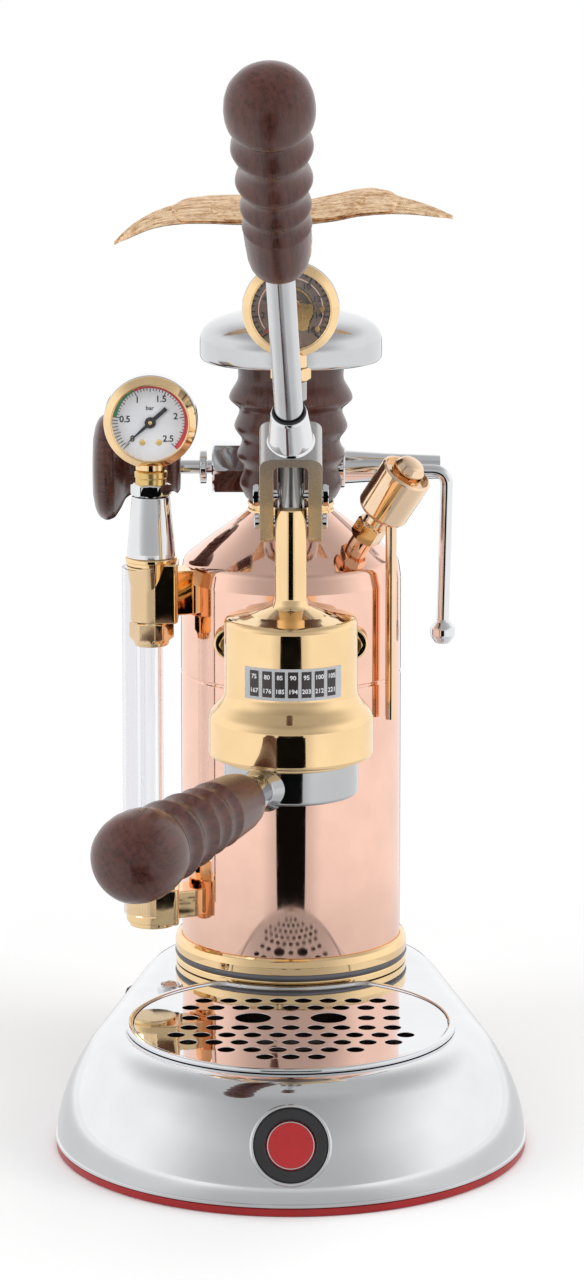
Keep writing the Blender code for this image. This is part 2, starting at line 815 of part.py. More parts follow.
def drip_tray(finish):
    rim_top = tray_bead_z + tray_rim_height
    inner = tray_rim_width
    wall = tray_wall
    step_z = base_top_z - tray_step_depth
    shelf = inner + tray_step_width
    floor_z = rim_top - tray_depth - wall
    profile = (
        (shelf + tray_floor_inset - wall, floor_z), (shelf - wall, floor_z + tray_floor_inset),
        (shelf - wall, step_z), (inner - wall, step_z), (inner - wall, tray_bead_z),
        (0, tray_bead_z), (0, tray_bead_z + tray_rim_height * 0.45),
        (inner * 0.3, rim_top), (inner * 0.7, rim_top), (inner, tray_bead_z + tray_rim_height * 0.3),
        (inner, step_z + wall), (shelf, step_z + wall), (shelf, floor_z + tray_floor_inset + wall),
        (shelf + tray_floor_inset, floor_z + wall),
    )
    lofted("drip_bowl", [level(tray_outline(inset), z) for inset, z in profile], finish["chrome"])
    edge = tray_outline(inner + gap)
    grille_z = step_z + wall + gap
    grille = lofted("drip_grille", [
        level(edge, grille_z), level(edge, grille_z + grille_thickness * 0.7),
        level(tray_outline(inner + gap + grille_thickness * 0.3), grille_z + grille_thickness),
    ], finish["chrome"])
    holes = bmesh.new()
    for row, columns in grille_row_shares:
        away = finger_row_pitch + (abs(row) - 1) * grille_pitch if row else 0
        y = finger_row_y + math.copysign(away, row)
        for column in columns:
            add_hole(holes, column * grille_pitch, y, grille_hole_radius, grille_z, hole_steps)
    for side in (-finger_column_share, finger_column_share):
        add_hole(holes, side * grille_pitch, finger_row_y, finger_hole_radius, grille_z, 16)
    cut(grille, add_object("grille_holes", mesh_from("grille_holes", holes)))


def add_hole(shape, x, y, radius, z, steps):
    bmesh.ops.create_cone(
        shape, cap_ends=True, segments=steps, radius1=radius, radius2=radius,
        depth=2 * (overrun + grille_thickness), matrix=Matrix.Translation((x, y, z)),
    )


def boiler_outline(extra=0):
    """The boiler's outer profile, from the mouth down, grown by extra."""
    shoulder = boiler_radius - shoulder_round_width
    return (
        (boiler_mouth_radius, boiler_mouth_z + extra * 1.25),
        (shoulder + extra * 0.6, boiler_shoulder_z + extra * 0.8),
        (boiler_radius - shoulder_round_width * 0.3 + extra * 0.9,
         boiler_shoulder_z - shoulder_round_height * 0.45 + extra * 0.4),
        (boiler_radius + extra, boiler_shoulder_z - shoulder_round_height),
        (boiler_radius + extra, boiler_foot_z),
    )


def boiler(finish):
    """The copper vessel, open at its mouth and foot, and the rings of its foot."""
    outside = boiler_outline()
    inside = [(max(radius - boiler_wall * 0.8, boiler_mouth_radius), z - boiler_wall)
              for radius, z in outside[:3]]
    inside[0] = (boiler_mouth_radius, boiler_mouth_z - boiler_wall * 1.25)
    inside += [(boiler_radius - boiler_wall, boiler_shoulder_z - shoulder_round_height),
               (boiler_radius - boiler_wall, boiler_foot_z)]
    vessel = turned("boiler", outside + tuple(reversed(inside)), finish["copper"], fine_steps,
                    location=boiler_axis)
    port_y = group_axis_y + bell_radius
    cut(vessel, cylinder("boiler_port", group_port_radius, 0, boiler_axis_y - port_y,
                         steps=small_steps, location=(0, boiler_axis_y, group_neck_z),
                         rotation=(math.radians(90), 0, 0)))
    clearance = turned("boiler_clearance", ((0, boiler_mouth_z + gap * 1.25), *boiler_outline(gap),
                                            (0, boiler_foot_z)), None, fine_steps, location=boiler_axis)
    collar = foot_collar_radius
    turned("boiler_seat_ring", (
        (collar + gap * 2, seat_ring_z + seat_ring_height),
        (seat_ring_radius * 0.99, seat_ring_z + seat_ring_height),
        (seat_ring_radius, seat_ring_z + seat_ring_height * 0.8), (seat_ring_radius, seat_ring_z),
        (collar + gap * 2, seat_ring_z),
    ), finish["gold"], fine_steps, location=boiler_axis)
    turned("boiler_gasket", (
        (collar + gap * 4, foot_gasket_z + foot_gasket_height),
        (foot_gasket_radius - foot_gasket_height / 2, foot_gasket_z + foot_gasket_height),
        (foot_gasket_radius, foot_gasket_z + foot_gasket_height / 2),
        (foot_gasket_radius - foot_gasket_height / 2, foot_gasket_z), (collar + gap * 4, foot_gasket_z),
    ), finish["rubber"], fine_steps, location=boiler_axis)
    ring_top = foot_ring_z + foot_ring_height
    shelf_z = foot_ring_z + foot_ring_shelf
    bore = collar - foot_collar_wall
    collar_foot_z = foot_ring_z - foot_collar_drop
    turned("boiler_foot_ring", (
        (boiler_radius + gap, ring_top), (boiler_radius + (foot_ring_radius - boiler_radius) * 0.55,
                                          ring_top * 0.996),
        (foot_ring_radius * 0.996, foot_ring_z + foot_ring_height * 0.72),
        (foot_ring_radius, foot_ring_z + foot_ring_height * 0.42),
        (foot_ring_radius * 0.994, foot_ring_z),
        (collar, foot_ring_z), (collar, collar_foot_z), (bore, collar_foot_z), (bore, shelf_z),
        (boiler_radius + gap, shelf_z),
    ), finish["gold"], fine_steps, location=boiler_axis)
    nut_top = base_top_z - base_wall - gap
    turned("boiler_ring_nut", (
        (collar + gap, nut_top), (ring_nut_radius, nut_top), (ring_nut_radius, nut_top - ring_nut_height),
        (collar + gap, nut_top - ring_nut_height),
    ), finish["brass"], fine_steps, location=boiler_axis)
    flange_top = collar_foot_z - gap
    flange = turned("element_flange", (
        (0, flange_top + element_plug_height), (bore - gap, flange_top + element_plug_height),
        (bore - gap, flange_top), (element_flange_radius, flange_top),
        (element_flange_radius, flange_top - element_flange_thickness),
        (0, flange_top - element_flange_thickness),
    ), finish["brass"], fine_steps, location=boiler_axis)
    low = flange_top - element_flange_thickness - element_tail
    bend = arc((0, element_top_z - element_spread), element_spread, 180, 0, 8)
    path = [(-element_spread, 0, low), *[(x, 0, z) for x, z in bend], (element_spread, 0, low)]
    tube("heating_element", path, element_rod_radius, finish["steel"], location=boiler_axis)
    for side in (-1, 1):
        place = {"location": (side * element_spread, boiler_axis_y, 0)}
        cut(flange, cylinder("element_hole_" + ("left" if side < 0 else "right"),
                             element_rod_radius + gap, low, element_top_z, steps=16, **place))
    return clearance


def boiler_cap(finish):
    """Filler neck, gasket, threaded insert, turned wooden grip and the dome on it."""
    seat = boiler_mouth_z - cone_slope_share * (neck_radius - boiler_mouth_radius)
    plug = boiler_mouth_radius - gap
    turned("filler_neck", (
        (neck_bore_radius, neck_top_z), (neck_radius * 0.98, neck_top_z),
        (neck_radius, neck_top_z - gap * 2),
        (neck_radius, seat + gap * 1.5), (plug, boiler_mouth_z + gap * 1.6),
        (plug, neck_top_z - neck_depth), (neck_bore_radius, neck_top_z - neck_depth),
    ), finish["gold"], medium_steps, location=boiler_axis)
    pivot = frame("cap_axis", boiler_axis)
    plug_radius = neck_bore_radius - neck_thread_depth - gap
    seal_radius = neck_bore_radius + gap
    turned("cap_gasket", (
        (seal_radius, neck_top_z + gap + cap_gasket_thickness),
        (neck_radius - gap, neck_top_z + gap + cap_gasket_thickness),
        (neck_radius - gap, neck_top_z + gap),
        (seal_radius, neck_top_z + gap),
    ), finish["rubber"], small_steps, parent=pivot)
    turned("cap_insert", (
        (0, cap_z + insert_stud_height), (insert_stud_radius, cap_z + insert_stud_height),
        (insert_stud_radius, cap_z + insert_flange_thickness),
        (insert_flange_radius, cap_z + insert_flange_thickness),
        (insert_flange_radius, cap_z), (plug_radius, cap_z), (plug_radius, cap_z - insert_plug_depth),
        (0, cap_z - insert_plug_depth),
    ), finish["brass"], small_steps, parent=pivot)
    outline = [(radius * cap_grip_radius, cap_z + height * cap_grip_height)
               for height, radius in reversed(cap_grip_shares)]
    recess_top = cap_z + insert_flange_thickness + gap
    turned("cap_grip", (
        (0, cap_z + cap_grip_height), *outline, (insert_flange_radius + gap, cap_z),
        (insert_flange_radius + gap, recess_top), (insert_stud_radius + gap, recess_top),
        (insert_stud_radius + gap, cap_z + insert_stud_height + gap),
        (0, cap_z + insert_stud_height + gap),
    ), finish["wood"], 22, parent=pivot)
    band_top = dome_z + dome_band_height
    crown = [(dome_radius * math.sin(turn), band_top + dome_rise * math.cos(turn))
             for turn in [math.radians(90 * i / 4) for i in range(5)]]
    turned("cap_dome", (
        *crown, (dome_radius, dome_z), (dome_radius - dome_lip, dome_z),
        (dome_radius - dome_lip, dome_z + dome_recess_height),
        (dome_hub_radius, dome_z + dome_recess_height),
        (dome_hub_radius, dome_z), (0, dome_z),
    ), finish["chrome"], fine_steps, parent=pivot)
    return pivot


def wing(name, side, span, drop, root):
    """A wing as sections from the body to the tip, each a lens with its rear edge raised."""
    rings = []
    pitch = math.radians(wing_pitch)
    for along, arch, fall, chord in wing_shares:
        centre = root + Vector((side * along * span, 0, arch * wing_arch - fall * drop))
        ring = []
        for i in range(8):
            turn = math.tau * i / 8
            back = math.cos(turn) * wing_chord * chord / 2
            up = math.sin(turn) * wing_thickness * (0.35 + 0.65 * chord) / 2
            ring.append(centre + Vector((0, back * math.cos(pitch) - up * math.sin(pitch),
                                         back * math.sin(pitch) + up * math.cos(pitch))))
        rings.append(ring)
    return lofted(name, rings)


def eagle(finish, pivot):
    """A bird with spread wings, on the dome."""
    middle = Vector((0, boiler_axis_y, perch_z))
    body_z = eagle_height - eagle_body_height / 2
    figure = ball("eagle", (eagle_body_radius, eagle_body_radius * 1.1, eagle_body_height / 2),
                  finish["gold"],
                  location=middle - boiler_axis + Vector((0, 0, body_z)),
                  rotation=(math.radians(8), 0, 0),
                  parent=pivot)
    perch = cylinder("eagle_perch", eagle_perch_radius, 0, eagle_perch_height, steps=small_steps,
                     location=middle)
    join(figure, perch)
    for side in (-1, 1):
        word = "left" if side < 0 else "right"
        leg = cylinder("eagle_leg_" + word, eagle_leg_radius, eagle_perch_height / 2, body_z, steps=8,
                       location=middle + Vector((side * eagle_leg_spread, 0, 0)))
        join(figure, leg)
    neck = Vector((0, -eagle_head_reach * 0.6, eagle_height + eagle_head_radius * 0.2))
    head = ball("eagle_head", (eagle_head_radius, eagle_head_radius * 1.2, eagle_head_radius * 1.1),
                location=middle + neck)
    beak_shape = bmesh.new()
    bmesh.ops.create_cone(beak_shape, cap_ends=True, segments=8, radius1=eagle_beak_radius,
                          radius2=eagle_beak_radius / 4, depth=eagle_beak_length)
    beak = add_object("eagle_beak", mesh_from("eagle_beak", beak_shape), None,
                      location=middle + neck + Vector((0, -eagle_head_radius - eagle_beak_length * 0.35,
                                                       0)),
                      rotation=(math.radians(105), 0, 0))
    tail = box("eagle_tail", (eagle_tail_width, eagle_tail_thickness, eagle_tail_length),
               location=middle + Vector((0, eagle_body_radius * 1.2, body_z - eagle_tail_length * 0.35)),
               rotation=(math.radians(30), 0, 0))
    root = middle + Vector((0, eagle_body_radius * 0.4, eagle_height * wing_root_z_share))
    left = wing("eagle_left_wing", -1, left_wing_span, left_wing_drop, root)
    right = wing("eagle_right_wing", 1, right_wing_span, right_wing_drop, root)
    join(figure, head, beak, tail, left, right)


def oval(centres, radius, steps):
    """The outline round two circles of one radius, whose centres lie on Y."""
    low, high = centres
    return arc((0, low), radius, 180, 360, steps) + arc((0, high), radius, 0, 180, steps)


def flange_outline(steps=5):
    """Two lobes and a round web, about the middle of the group's flange."""
    spread = flange_lobe_spread
    lean = math.degrees(math.asin((flange_web_radius - flange_lobe_radius) / spread))
    right = arc((spread, 0), flange_lobe_radius, lean - 90, 90 - lean, steps)
    top = arc((0, 0), flange_web_radius, 90 - lean, 90 + lean, 4)
    left = arc((-spread, 0), flange_lobe_radius, 90 + lean, 270 - lean, steps)
    bottom = arc((0, 0), flange_web_radius, 270 - lean, 270 + lean, 4)
    return right + top + left + bottom


def group_head(finish, clearance):
    centre = Vector((0, group_axis_y, 0))
    wall_rise = bell_crown_z - bell_shoulder_z
    ceiling_rise = bell_ceiling_z - bell_shoulder_z
    seat_z = bell_foot_z + bell_lip_height + ear_room_height
    bore_foot_z = seat_z + gasket_seat_height
    bore = rod_radius + gap
    spread = flare_radius - bell_radius
    drop = flare_start_z - flare_top_z
    bell = turned("group_bell", (
        (0, bell_crown_z + wall_rise),
        (tower_half_width * 0.94, bell_crown_z + wall_rise),
        (tower_half_width * 1.03, bell_crown_z + wall_rise * 0.75),
        (tower_half_width * 1.3, bell_crown_z + wall_rise * 0.42),
        (tower_half_width * 2.1, bell_crown_z + wall_rise * 0.17),
        (bell_radius * 0.7, bell_crown_z - wall_rise * 0.03),
        (bell_radius * 0.87, bell_shoulder_z + wall_rise * 0.66),
        (bell_radius * 0.965, bell_shoulder_z + wall_rise * 0.34), (bell_radius, bell_shoulder_z),
        (bell_radius, flare_start_z), (bell_radius + spread * 0.1, flare_start_z - drop * 0.22),
        (bell_radius + spread * 0.45, flare_start_z - drop * 0.52),
        (bell_radius + spread * 0.85, flare_start_z - drop * 0.82),
        (flare_radius, flare_top_z), (flare_radius, bell_foot_z + gap * 4),
        (flare_radius - gap * 3, bell_foot_z),
        (bell_lip_radius, bell_foot_z), (bell_lip_radius, bell_foot_z + bell_lip_height),
        (ear_room_radius, bell_foot_z + bell_lip_height), (ear_room_radius, seat_z),
        (gasket_seat_radius, seat_z),
        (gasket_seat_radius, bore_foot_z), (bell_bore_radius, bore_foot_z),
        (bell_bore_radius, sleeve_top_z + gap), (piston_radius, bell_shoulder_z + ceiling_rise * 0.42),
        (piston_radius * 0.55, bell_shoulder_z + ceiling_rise * 0.8), (0, bell_ceiling_z),
    ), finish["gold"], 24, location=centre)
    feet = (-tower_front_reach, tower_rear_reach)
    tower = lofted("tower", [
        level(oval(feet, tower_half_width, 7), tower_foot_z),
        level(oval(feet, tower_half_width, 7), tower_top_z - tower_round),
        level(oval(feet, tower_half_width - tower_round * 0.35, 7), tower_top_z - tower_round * 0.4),
        level(oval(feet, tower_half_width - tower_round, 7), tower_top_z),
    ], location=centre)
    flange_low = group_flange_y - group_axis_y
    flange_high = flange_low + group_flange_thickness
    neck = cylinder("group_neck", group_neck_radius, bell_bore_radius + 2 * gap, flange_low + overrun,
                    steps=22, location=(0, group_axis_y, group_neck_z),
                    rotation=(math.radians(-90), math.radians(5), 0))
    plate = lofted("group_flange", [
        [(x, group_flange_y + depth, group_neck_z + z) for x, z in flange_outline()]
        for depth in (0, group_flange_thickness)
    ])
    join(bell, tower)
    cut(bell, cylinder("rod_bore", bore, tower_foot_z - overrun * 2, tower_top_z + overrun, steps=14,
                       location=centre))
    slot_low = piston_pin_z - piston_stroke - pin_radius - 2 * gap
    slot_high = tower_top_z + overrun
    slot_size = (2 * (tower_half_width + overrun), 2 * (pin_radius + gap), slot_high - slot_low)
    cut(bell, box("tower_slot", slot_size, location=(0, group_axis_y, (slot_high + slot_low) / 2)))
    across = (0, math.radians(90), 0)
    cut(bell, cylinder("fulcrum_hole", pin_radius + gap, -tower_half_width - overrun,
                       tower_half_width + overrun,
                       steps=16, location=(0, fulcrum_y, fulcrum_z), rotation=across))
    join(bell, neck, plate)
    cut(bell, cylinder("group_port", group_port_radius, 0, flange_high + overrun, steps=small_steps,
                       location=(0, group_axis_y, group_neck_z), rotation=(math.radians(-90), 0, 0)))
    entry = (3 * ear_room_radius, entry_slot_width, bell_lip_height * 3)
    entries = cylinder("entry_slots", ear_room_radius - gap, bell_foot_z - overrun,
                       bell_foot_z + bell_lip_height + gap, steps=24, location=centre)
    keep(entries, box("entry_width_box", entry, location=(0, group_axis_y, bell_foot_z),
                      rotation=(0, 0, math.radians(handle_turn - lock_turn))))
    cut(bell, entries)
    saddle = lofted("boiler_flange", [
        [(x, y, group_neck_z + z) for x, z in flange_outline()]
        for y in (group_flange_y + group_flange_thickness + gap,
                  group_flange_y + group_flange_thickness + gap + boiler_flange_thickness)
    ], finish["gold"])
    cut(saddle, clearance)
    cut(saddle, cylinder("saddle_port", group_port_radius, 0,
                         flange_high + boiler_flange_thickness + overrun,
                         steps=small_steps, location=(0, group_axis_y, group_neck_z),
                         rotation=(math.radians(-90), 0, 0)))
    sleeve = bell_bore_radius - gap
    turned("group_sleeve", (
        (sleeve - sleeve_wall, sleeve_top_z), (sleeve, sleeve_top_z), (sleeve, sleeve_foot_z),
        (sleeve - sleeve_wall, sleeve_foot_z),
    ), finish["brass"], medium_steps, location=centre)
    gasket_top = seat_z + gasket_seat_height - gap
    gasket = gasket_seat_radius - gap
    turned("group_gasket", (
        (gasket - group_gasket_wall, gasket_top), (gasket, gasket_top),
        (gasket, gasket_top - group_gasket_height),
        (gasket - group_gasket_wall, gasket_top - group_gasket_height),
    ), finish["rubber"], medium_steps, location=centre)
    turned("shower_screen", (
        (0, sleeve_foot_z - gap), (sleeve, sleeve_foot_z - gap),
        (sleeve, sleeve_foot_z - gap - screen_thickness),
        (0, sleeve_foot_z - gap - screen_thickness),
    ), finish["steel"], medium_steps, location=centre)


def piston(finish):
    centre = Vector((0, group_axis_y, 0))
    top = piston_foot_z + piston_height
    profile = [(0, top), (piston_radius, top)]
    grooves = [piston_foot_z + share * piston_height for share in (upper_seal_share, lower_seal_share)]
    for low in grooves:
        high = low + seal_height + 2 * gap
        profile += [(piston_radius, high), (piston_radius - seal_depth, high),
                    (piston_radius - seal_depth, low),
                    (piston_radius, low)]
    profile += [(piston_radius, piston_foot_z), (0, piston_foot_z)]
    turned("piston", profile, finish["brass"], medium_steps, location=centre)
    for word, low in zip(("upper", "lower"), grooves):
        inner = piston_radius - seal_depth + gap
        turned("piston_seal_" + word, (
            (inner, low + gap + seal_height), (piston_radius + seal_reach, low + gap + seal_height),
            (piston_radius + seal_reach, low + gap), (inner, low + gap),
        ), finish["rubber"], medium_steps, location=centre)
    rod = turned("piston_rod", (
        (0, rod_hex_z), (rod_head_radius, rod_hex_z), (rod_head_radius, rod_neck_top_z + gap * 4),
        (rod_neck_radius, rod_neck_top_z), (rod_neck_radius, rod_shoulder_z + gap * 3),
        (rod_radius, rod_shoulder_z - gap), (rod_radius, top + gap), (0, top + gap),
    ), finish["steel"], 24, location=centre)
    join(rod, cylinder("rod_hex", rod_hex_radius, rod_hex_z - overrun, rod_hex_z + rod_hex_height,
                       steps=6,
                       location=centre, rotation=(0, 0, math.radians(30))))
    across = (0, math.radians(90), 0)
    spot = (0, group_axis_y, piston_pin_z)
    cut(rod, cylinder("rod_eye", pin_radius + gap, -rod_radius - overrun, rod_radius + overrun, steps=16,
                      location=spot, rotation=across))
    headed_pin("piston_pin", piston_pin_head_radius, piston_pin_head, spot, finish)


def headed_pin(name, head_radius, head, spot, finish):
    """A pin across the fork with a round head at each end."""
    end = pin_end_x + head
    turned(name, (
        (0, end), (head_radius * 0.8, end), (head_radius, end - head * 0.3), (head_radius, pin_end_x),
        (pin_radius, pin_end_x), (pin_radius, -pin_end_x), (head_radius, -pin_end_x),
        (head_radius, -end + head * 0.3), (head_radius * 0.8, -end), (0, -end),
    ), finish["chrome"], 16, location=spot, rotation=(0, math.radians(90), 0))


def lever(finish):
    axis = frame("lever_axis", (0, fulcrum_y, fulcrum_z), (math.radians(90 - lever_elevation), 0, 0))
    headed_pin("fulcrum_pin", fulcrum_head_radius, fulcrum_head, (0, fulcrum_y, fulcrum_z), finish)
    top = fork_bridge_z + fork_bridge_thickness
    eye = arc((0, 0), fork_eye_radius, 190, 350, 10)
    side = [*eye, (fork_half_depth, fork_taper_z), (fork_half_depth, top), (-fork_half_depth, top),
            (-fork_half_depth, fork_taper_z)]
    fork = lofted("lever_fork", [[(x, y, z) for y, z in side] for x in (-fork_half_width,
                                                                        fork_half_width)],
                  finish["steel"], parent=axis)
    channel_low = -fork_eye_radius - overrun
    channel = (2 * fork_inner_half_width, 2 * (fork_half_depth + overrun), fork_bridge_z - channel_low)
    cut(fork, box("fork_channel", channel, location=(0, 0, (fork_bridge_z + channel_low) / 2),
                  parent=axis))
    slot = oval((slot_start_z, slot_end_z), slot_half_width, 8)
    reach = fork_half_width + overrun
    cut(fork, lofted("fork_slot", [[(x, y, z) for y, z in slot] for x in (-reach, reach)], parent=axis))
    cut(fork, cylinder("fork_eye", pin_radius + gap, -reach, reach, steps=16,
                       rotation=(0, math.radians(90), 0), parent=axis))
    lean = frame("lever_lean", (0, 0, top))
    lean.parent = axis
    lean.rotation_euler = (0, math.radians(-lever_lean), 0)
    socket = turned("lever_socket", (
        (0, socket_length), (socket_mouth_radius * 0.95, socket_length),
        (socket_mouth_radius, socket_length * 0.96),
        (socket_foot_radius, socket_length * 0.05), (socket_foot_radius, -overrun), (0, -overrun),
    ), None, 24, parent=lean)
    join(fork, socket)
    rod_foot = socket_floor
    cut(fork, cylinder("socket_bore", lever_rod_radius + gap, rod_foot, socket_length + overrun,
                       steps=24, parent=lean))
    grip_foot = lever_grip_z - top
    rod_top = grip_foot + lever_rod_grip_depth
    cylinder("lever_rod", lever_rod_radius, rod_foot + gap, rod_top, finish["chrome"], 24, parent=lean)
    grip = grip_of("lever_grip", finish, location=(0, 0, grip_foot), parent=lean)
    cut(grip, cylinder("lever_grip_bore", lever_rod_radius + gap, grip_foot - overrun, rod_top + gap,
                       steps=24,
                       parent=lean))


def grip_of(name, finish, **place):
    """The turned wooden grip that the lever and the portafilter share."""
    outline = [(radius * grip_radius, along * grip_length) for along, radius in reversed(grip_shares)]
    return turned(name, (*outline, (0, 0)), finish["wood"], 18, **place)


def portafilter(finish):
    axis = frame("portafilter_axis", (0, group_axis_y, 0), (0, 0, math.radians(handle_turn)))
    ring = turned("portafilter", (
        (portafilter_bore_radius, portafilter_top_z), (portafilter_radius, portafilter_top_z),
        (portafilter_radius, portafilter_foot_z + gap * 3),
        (portafilter_radius - gap * 3, portafilter_foot_z),
        (portafilter_bore_radius, portafilter_foot_z),
    ), finish["chrome"], 24, parent=axis)
    ear_top = portafilter_top_z - 2 * gap / 3
    ears = cylinder("portafilter_ears", ear_radius, ear_top - ear_height, ear_top, steps=24, parent=axis)
    keep(ears, box("ear_width_box", (3 * ear_radius, ear_width, portafilter_top_z),
                   location=(0, 0, ear_top), parent=axis))
    join(ring, ears)
    lying = (math.radians(90), 0, 0)
    stem = turned("portafilter_stem", (
        (0, ferrule_end + tang_length), (tang_radius, ferrule_end + tang_length),
        (tang_radius, ferrule_end),
        (ferrule_radius * 0.9, ferrule_end), (ferrule_radius, ferrule_end - gap * 4),
        (ferrule_radius, ferrule_end - (ferrule_end - ferrule_start) * 0.3),
        (ferrule_root_radius, ferrule_start + (ferrule_end - ferrule_start) * 0.2),
        (ferrule_root_radius, ferrule_start), (0, ferrule_start),
    ), None, 24, location=(0, 0, handle_z), rotation=lying, parent=axis)
    join(ring, stem)
    cut(ring, cylinder("portafilter_bore", portafilter_bore_radius, portafilter_foot_z - ferrule_radius,
                       portafilter_top_z + overrun, steps=24, parent=axis))
    grip_start = ferrule_end + gap
    grip = grip_of("portafilter_grip", finish, location=(0, -grip_start, handle_z), rotation=lying,
                   parent=axis)
    cut(grip, cylinder("portafilter_grip_bore", tang_radius + gap, grip_start - overrun,
                       ferrule_end + tang_length + gap, steps=24, location=(0, 0, handle_z),
                       rotation=lying, parent=axis))
    lip_foot = portafilter_top_z + gap
    lip_top = lip_foot + basket_lip_thickness
    turned("filter_basket", (
        (0, basket_foot_z + basket_wall), (basket_foot_radius - basket_wall, basket_foot_z + basket_wall),
        (basket_radius - basket_wall, lip_top), (basket_lip_radius, lip_top),
        (basket_lip_radius, lip_foot),
        (basket_radius, lip_foot), (basket_foot_radius, basket_foot_z), (0, basket_foot_z),
    ), finish["steel"], medium_steps, parent=axis)


def gauge(name, spot, stem_foot_z, finish):
    """A round gauge that faces the front, on a stem that ends at stem_foot_z, with its pointer."""
    facing = (math.radians(90), 0, 0)
    half = gauge_half_depth
    rim = gauge_radius - gauge_rim
    case = turned(name + "_case", (
        (0, half - gauge_floor_depth), (rim, half - gauge_floor_depth), (rim, half - gauge_rim * 0.3),
        (rim + gauge_rim * 0.25, half), (gauge_radius - gauge_rim * 0.25, half),
        (gauge_radius, half - gauge_rim * 0.4),
        (gauge_radius, half - gauge_band), (gauge_radius - gauge_band_step,
                                            half - gauge_band - gauge_band_step / 2),
        (gauge_radius - gauge_band_step, -half + gauge_back_round),
        (gauge_radius - gauge_band_step - gauge_back_round, -half),
        (0, -half),
    ), finish["gold"], 22, location=spot, rotation=facing)
    stem = cylinder(name + "_stem", gauge_stem_radius, stem_foot_z, spot[2] - gauge_radius * 0.8,
                    steps=24,
                    location=(spot[0], spot[1], 0))
    join(case, stem)
    floor = half - gauge_floor_depth + gap
    axis = frame(name + "_pointer_axis", spot, facing)
    turn = math.radians(pointer_rest)
    pointer = cylinder(name + "_pointer", pointer_hub_radius, floor, floor + pointer_thickness,
                       finish["black"], 12,
                       parent=axis)
    length = pointer_length + pointer_tail
    middle = (pointer_length - pointer_tail) / 2
    join(pointer, box(name + "_hand", (length, pointer_width, pointer_thickness * 0.8),
                      location=(middle * math.cos(turn), middle * math.sin(turn),
                                floor + pointer_thickness / 2),
                      rotation=(0, 0, turn), parent=axis))


def sight_glass(finish, clearance):
    centre = Vector((column_x, column_y, 0))
    inward = boiler_axis - centre
    azimuth = math.atan2(inward.y, inward.x)
    reach = inward.length
    ring_top = top_fitting_top_z + top_ring_height
    column = turned("gauge_column", (
        (0, cone_top_z + gap * 2), (cone_top_radius, cone_top_z), (cone_foot_radius, ring_top + gap),
        (0, ring_top + gap),
    ), finish["chrome"], 24, location=centre)
    hex_top = cone_top_z + column_hex_height
    join(column, cylinder("column_hex", column_hex_radius, cone_top_z - overrun, hex_top, steps=6,
                          location=centre,
                          rotation=(0, 0, math.radians(30))))
    gauge("boiler_gauge", (column_x, column_y, boiler_gauge_z), hex_top + gap, finish)
    bore = glass_radius + gap
    top = turned("sight_top_fitting", (
        (0, ring_top), (top_ring_radius * 0.96, ring_top), (top_ring_radius, ring_top - gap * 3),
        (top_ring_radius, top_fitting_top_z), (fitting_radius, top_fitting_top_z - gap),
        (fitting_radius, top_fitting_foot_z),
        (bore, top_fitting_foot_z), (bore, top_fitting_foot_z + glass_seat_depth + gap),
        (0, top_fitting_foot_z + glass_seat_depth + gap),
    ), finish["gold"], 20, location=centre)
    bottom_seat = bottom_fitting_top_z - glass_seat_depth
    bottom = turned("sight_bottom_fitting", (
        (0, bottom_seat - gap), (bore, bottom_seat - gap), (bore, bottom_fitting_top_z),
        (bottom_fitting_radius, bottom_fitting_top_z),
        (bottom_fitting_radius, bottom_fitting_foot_z + gap * 4),
        (bottom_fitting_radius - gap * 4, bottom_fitting_foot_z), (0, bottom_fitting_foot_z),
    ), finish["gold"], 20, location=centre)
    for piece, z, block in ((top, top_arm_z, fitting_radius),
                            (bottom, bottom_arm_z, bottom_fitting_radius)):
        arm = cylinder(piece.name + "_arm", sight_arm_radius, block * 0.8, reach, steps=20,
                       location=(column_x, column_y, z), rotation=(0, math.radians(90), azimuth))
        cut(arm, clearance)
        join(piece, arm)
    for word, low in (("top", top_fitting_foot_z - gap - sight_nut_height),
                      ("bottom", bottom_fitting_top_z + gap)):
        nut = cylinder("sight_nut_" + word, sight_nut_radius, low, low + sight_nut_height,
                       finish["gold"], 6,
                       location=centre, rotation=(0, 0, math.radians(30)))
        cut(nut, cylinder("sight_nut_bore_" + word, bore, low - overrun,
                          low + sight_nut_height + overrun, steps=20,
                          location=centre))
    glass_top = top_fitting_foot_z + glass_seat_depth
    turned("sight_glass", (
        (glass_radius - glass_wall, glass_top), (glass_radius, glass_top), (glass_radius, bottom_seat),
        (glass_radius - glass_wall, bottom_seat),
    ), finish["glass"], 20, location=centre)
    outward = math.degrees(azimuth) + 180
    section = arc((0, 0), guard_radius, outward - 90, outward + 90, 14)
    section += arc((0, 0), guard_radius - guard_wall, outward + 90, outward - 90, 14)
    lofted("sight_guard", [level(section, guard_foot_z), level(section, top_fitting_top_z - gap)],
           finish["glass"],
           location=centre)


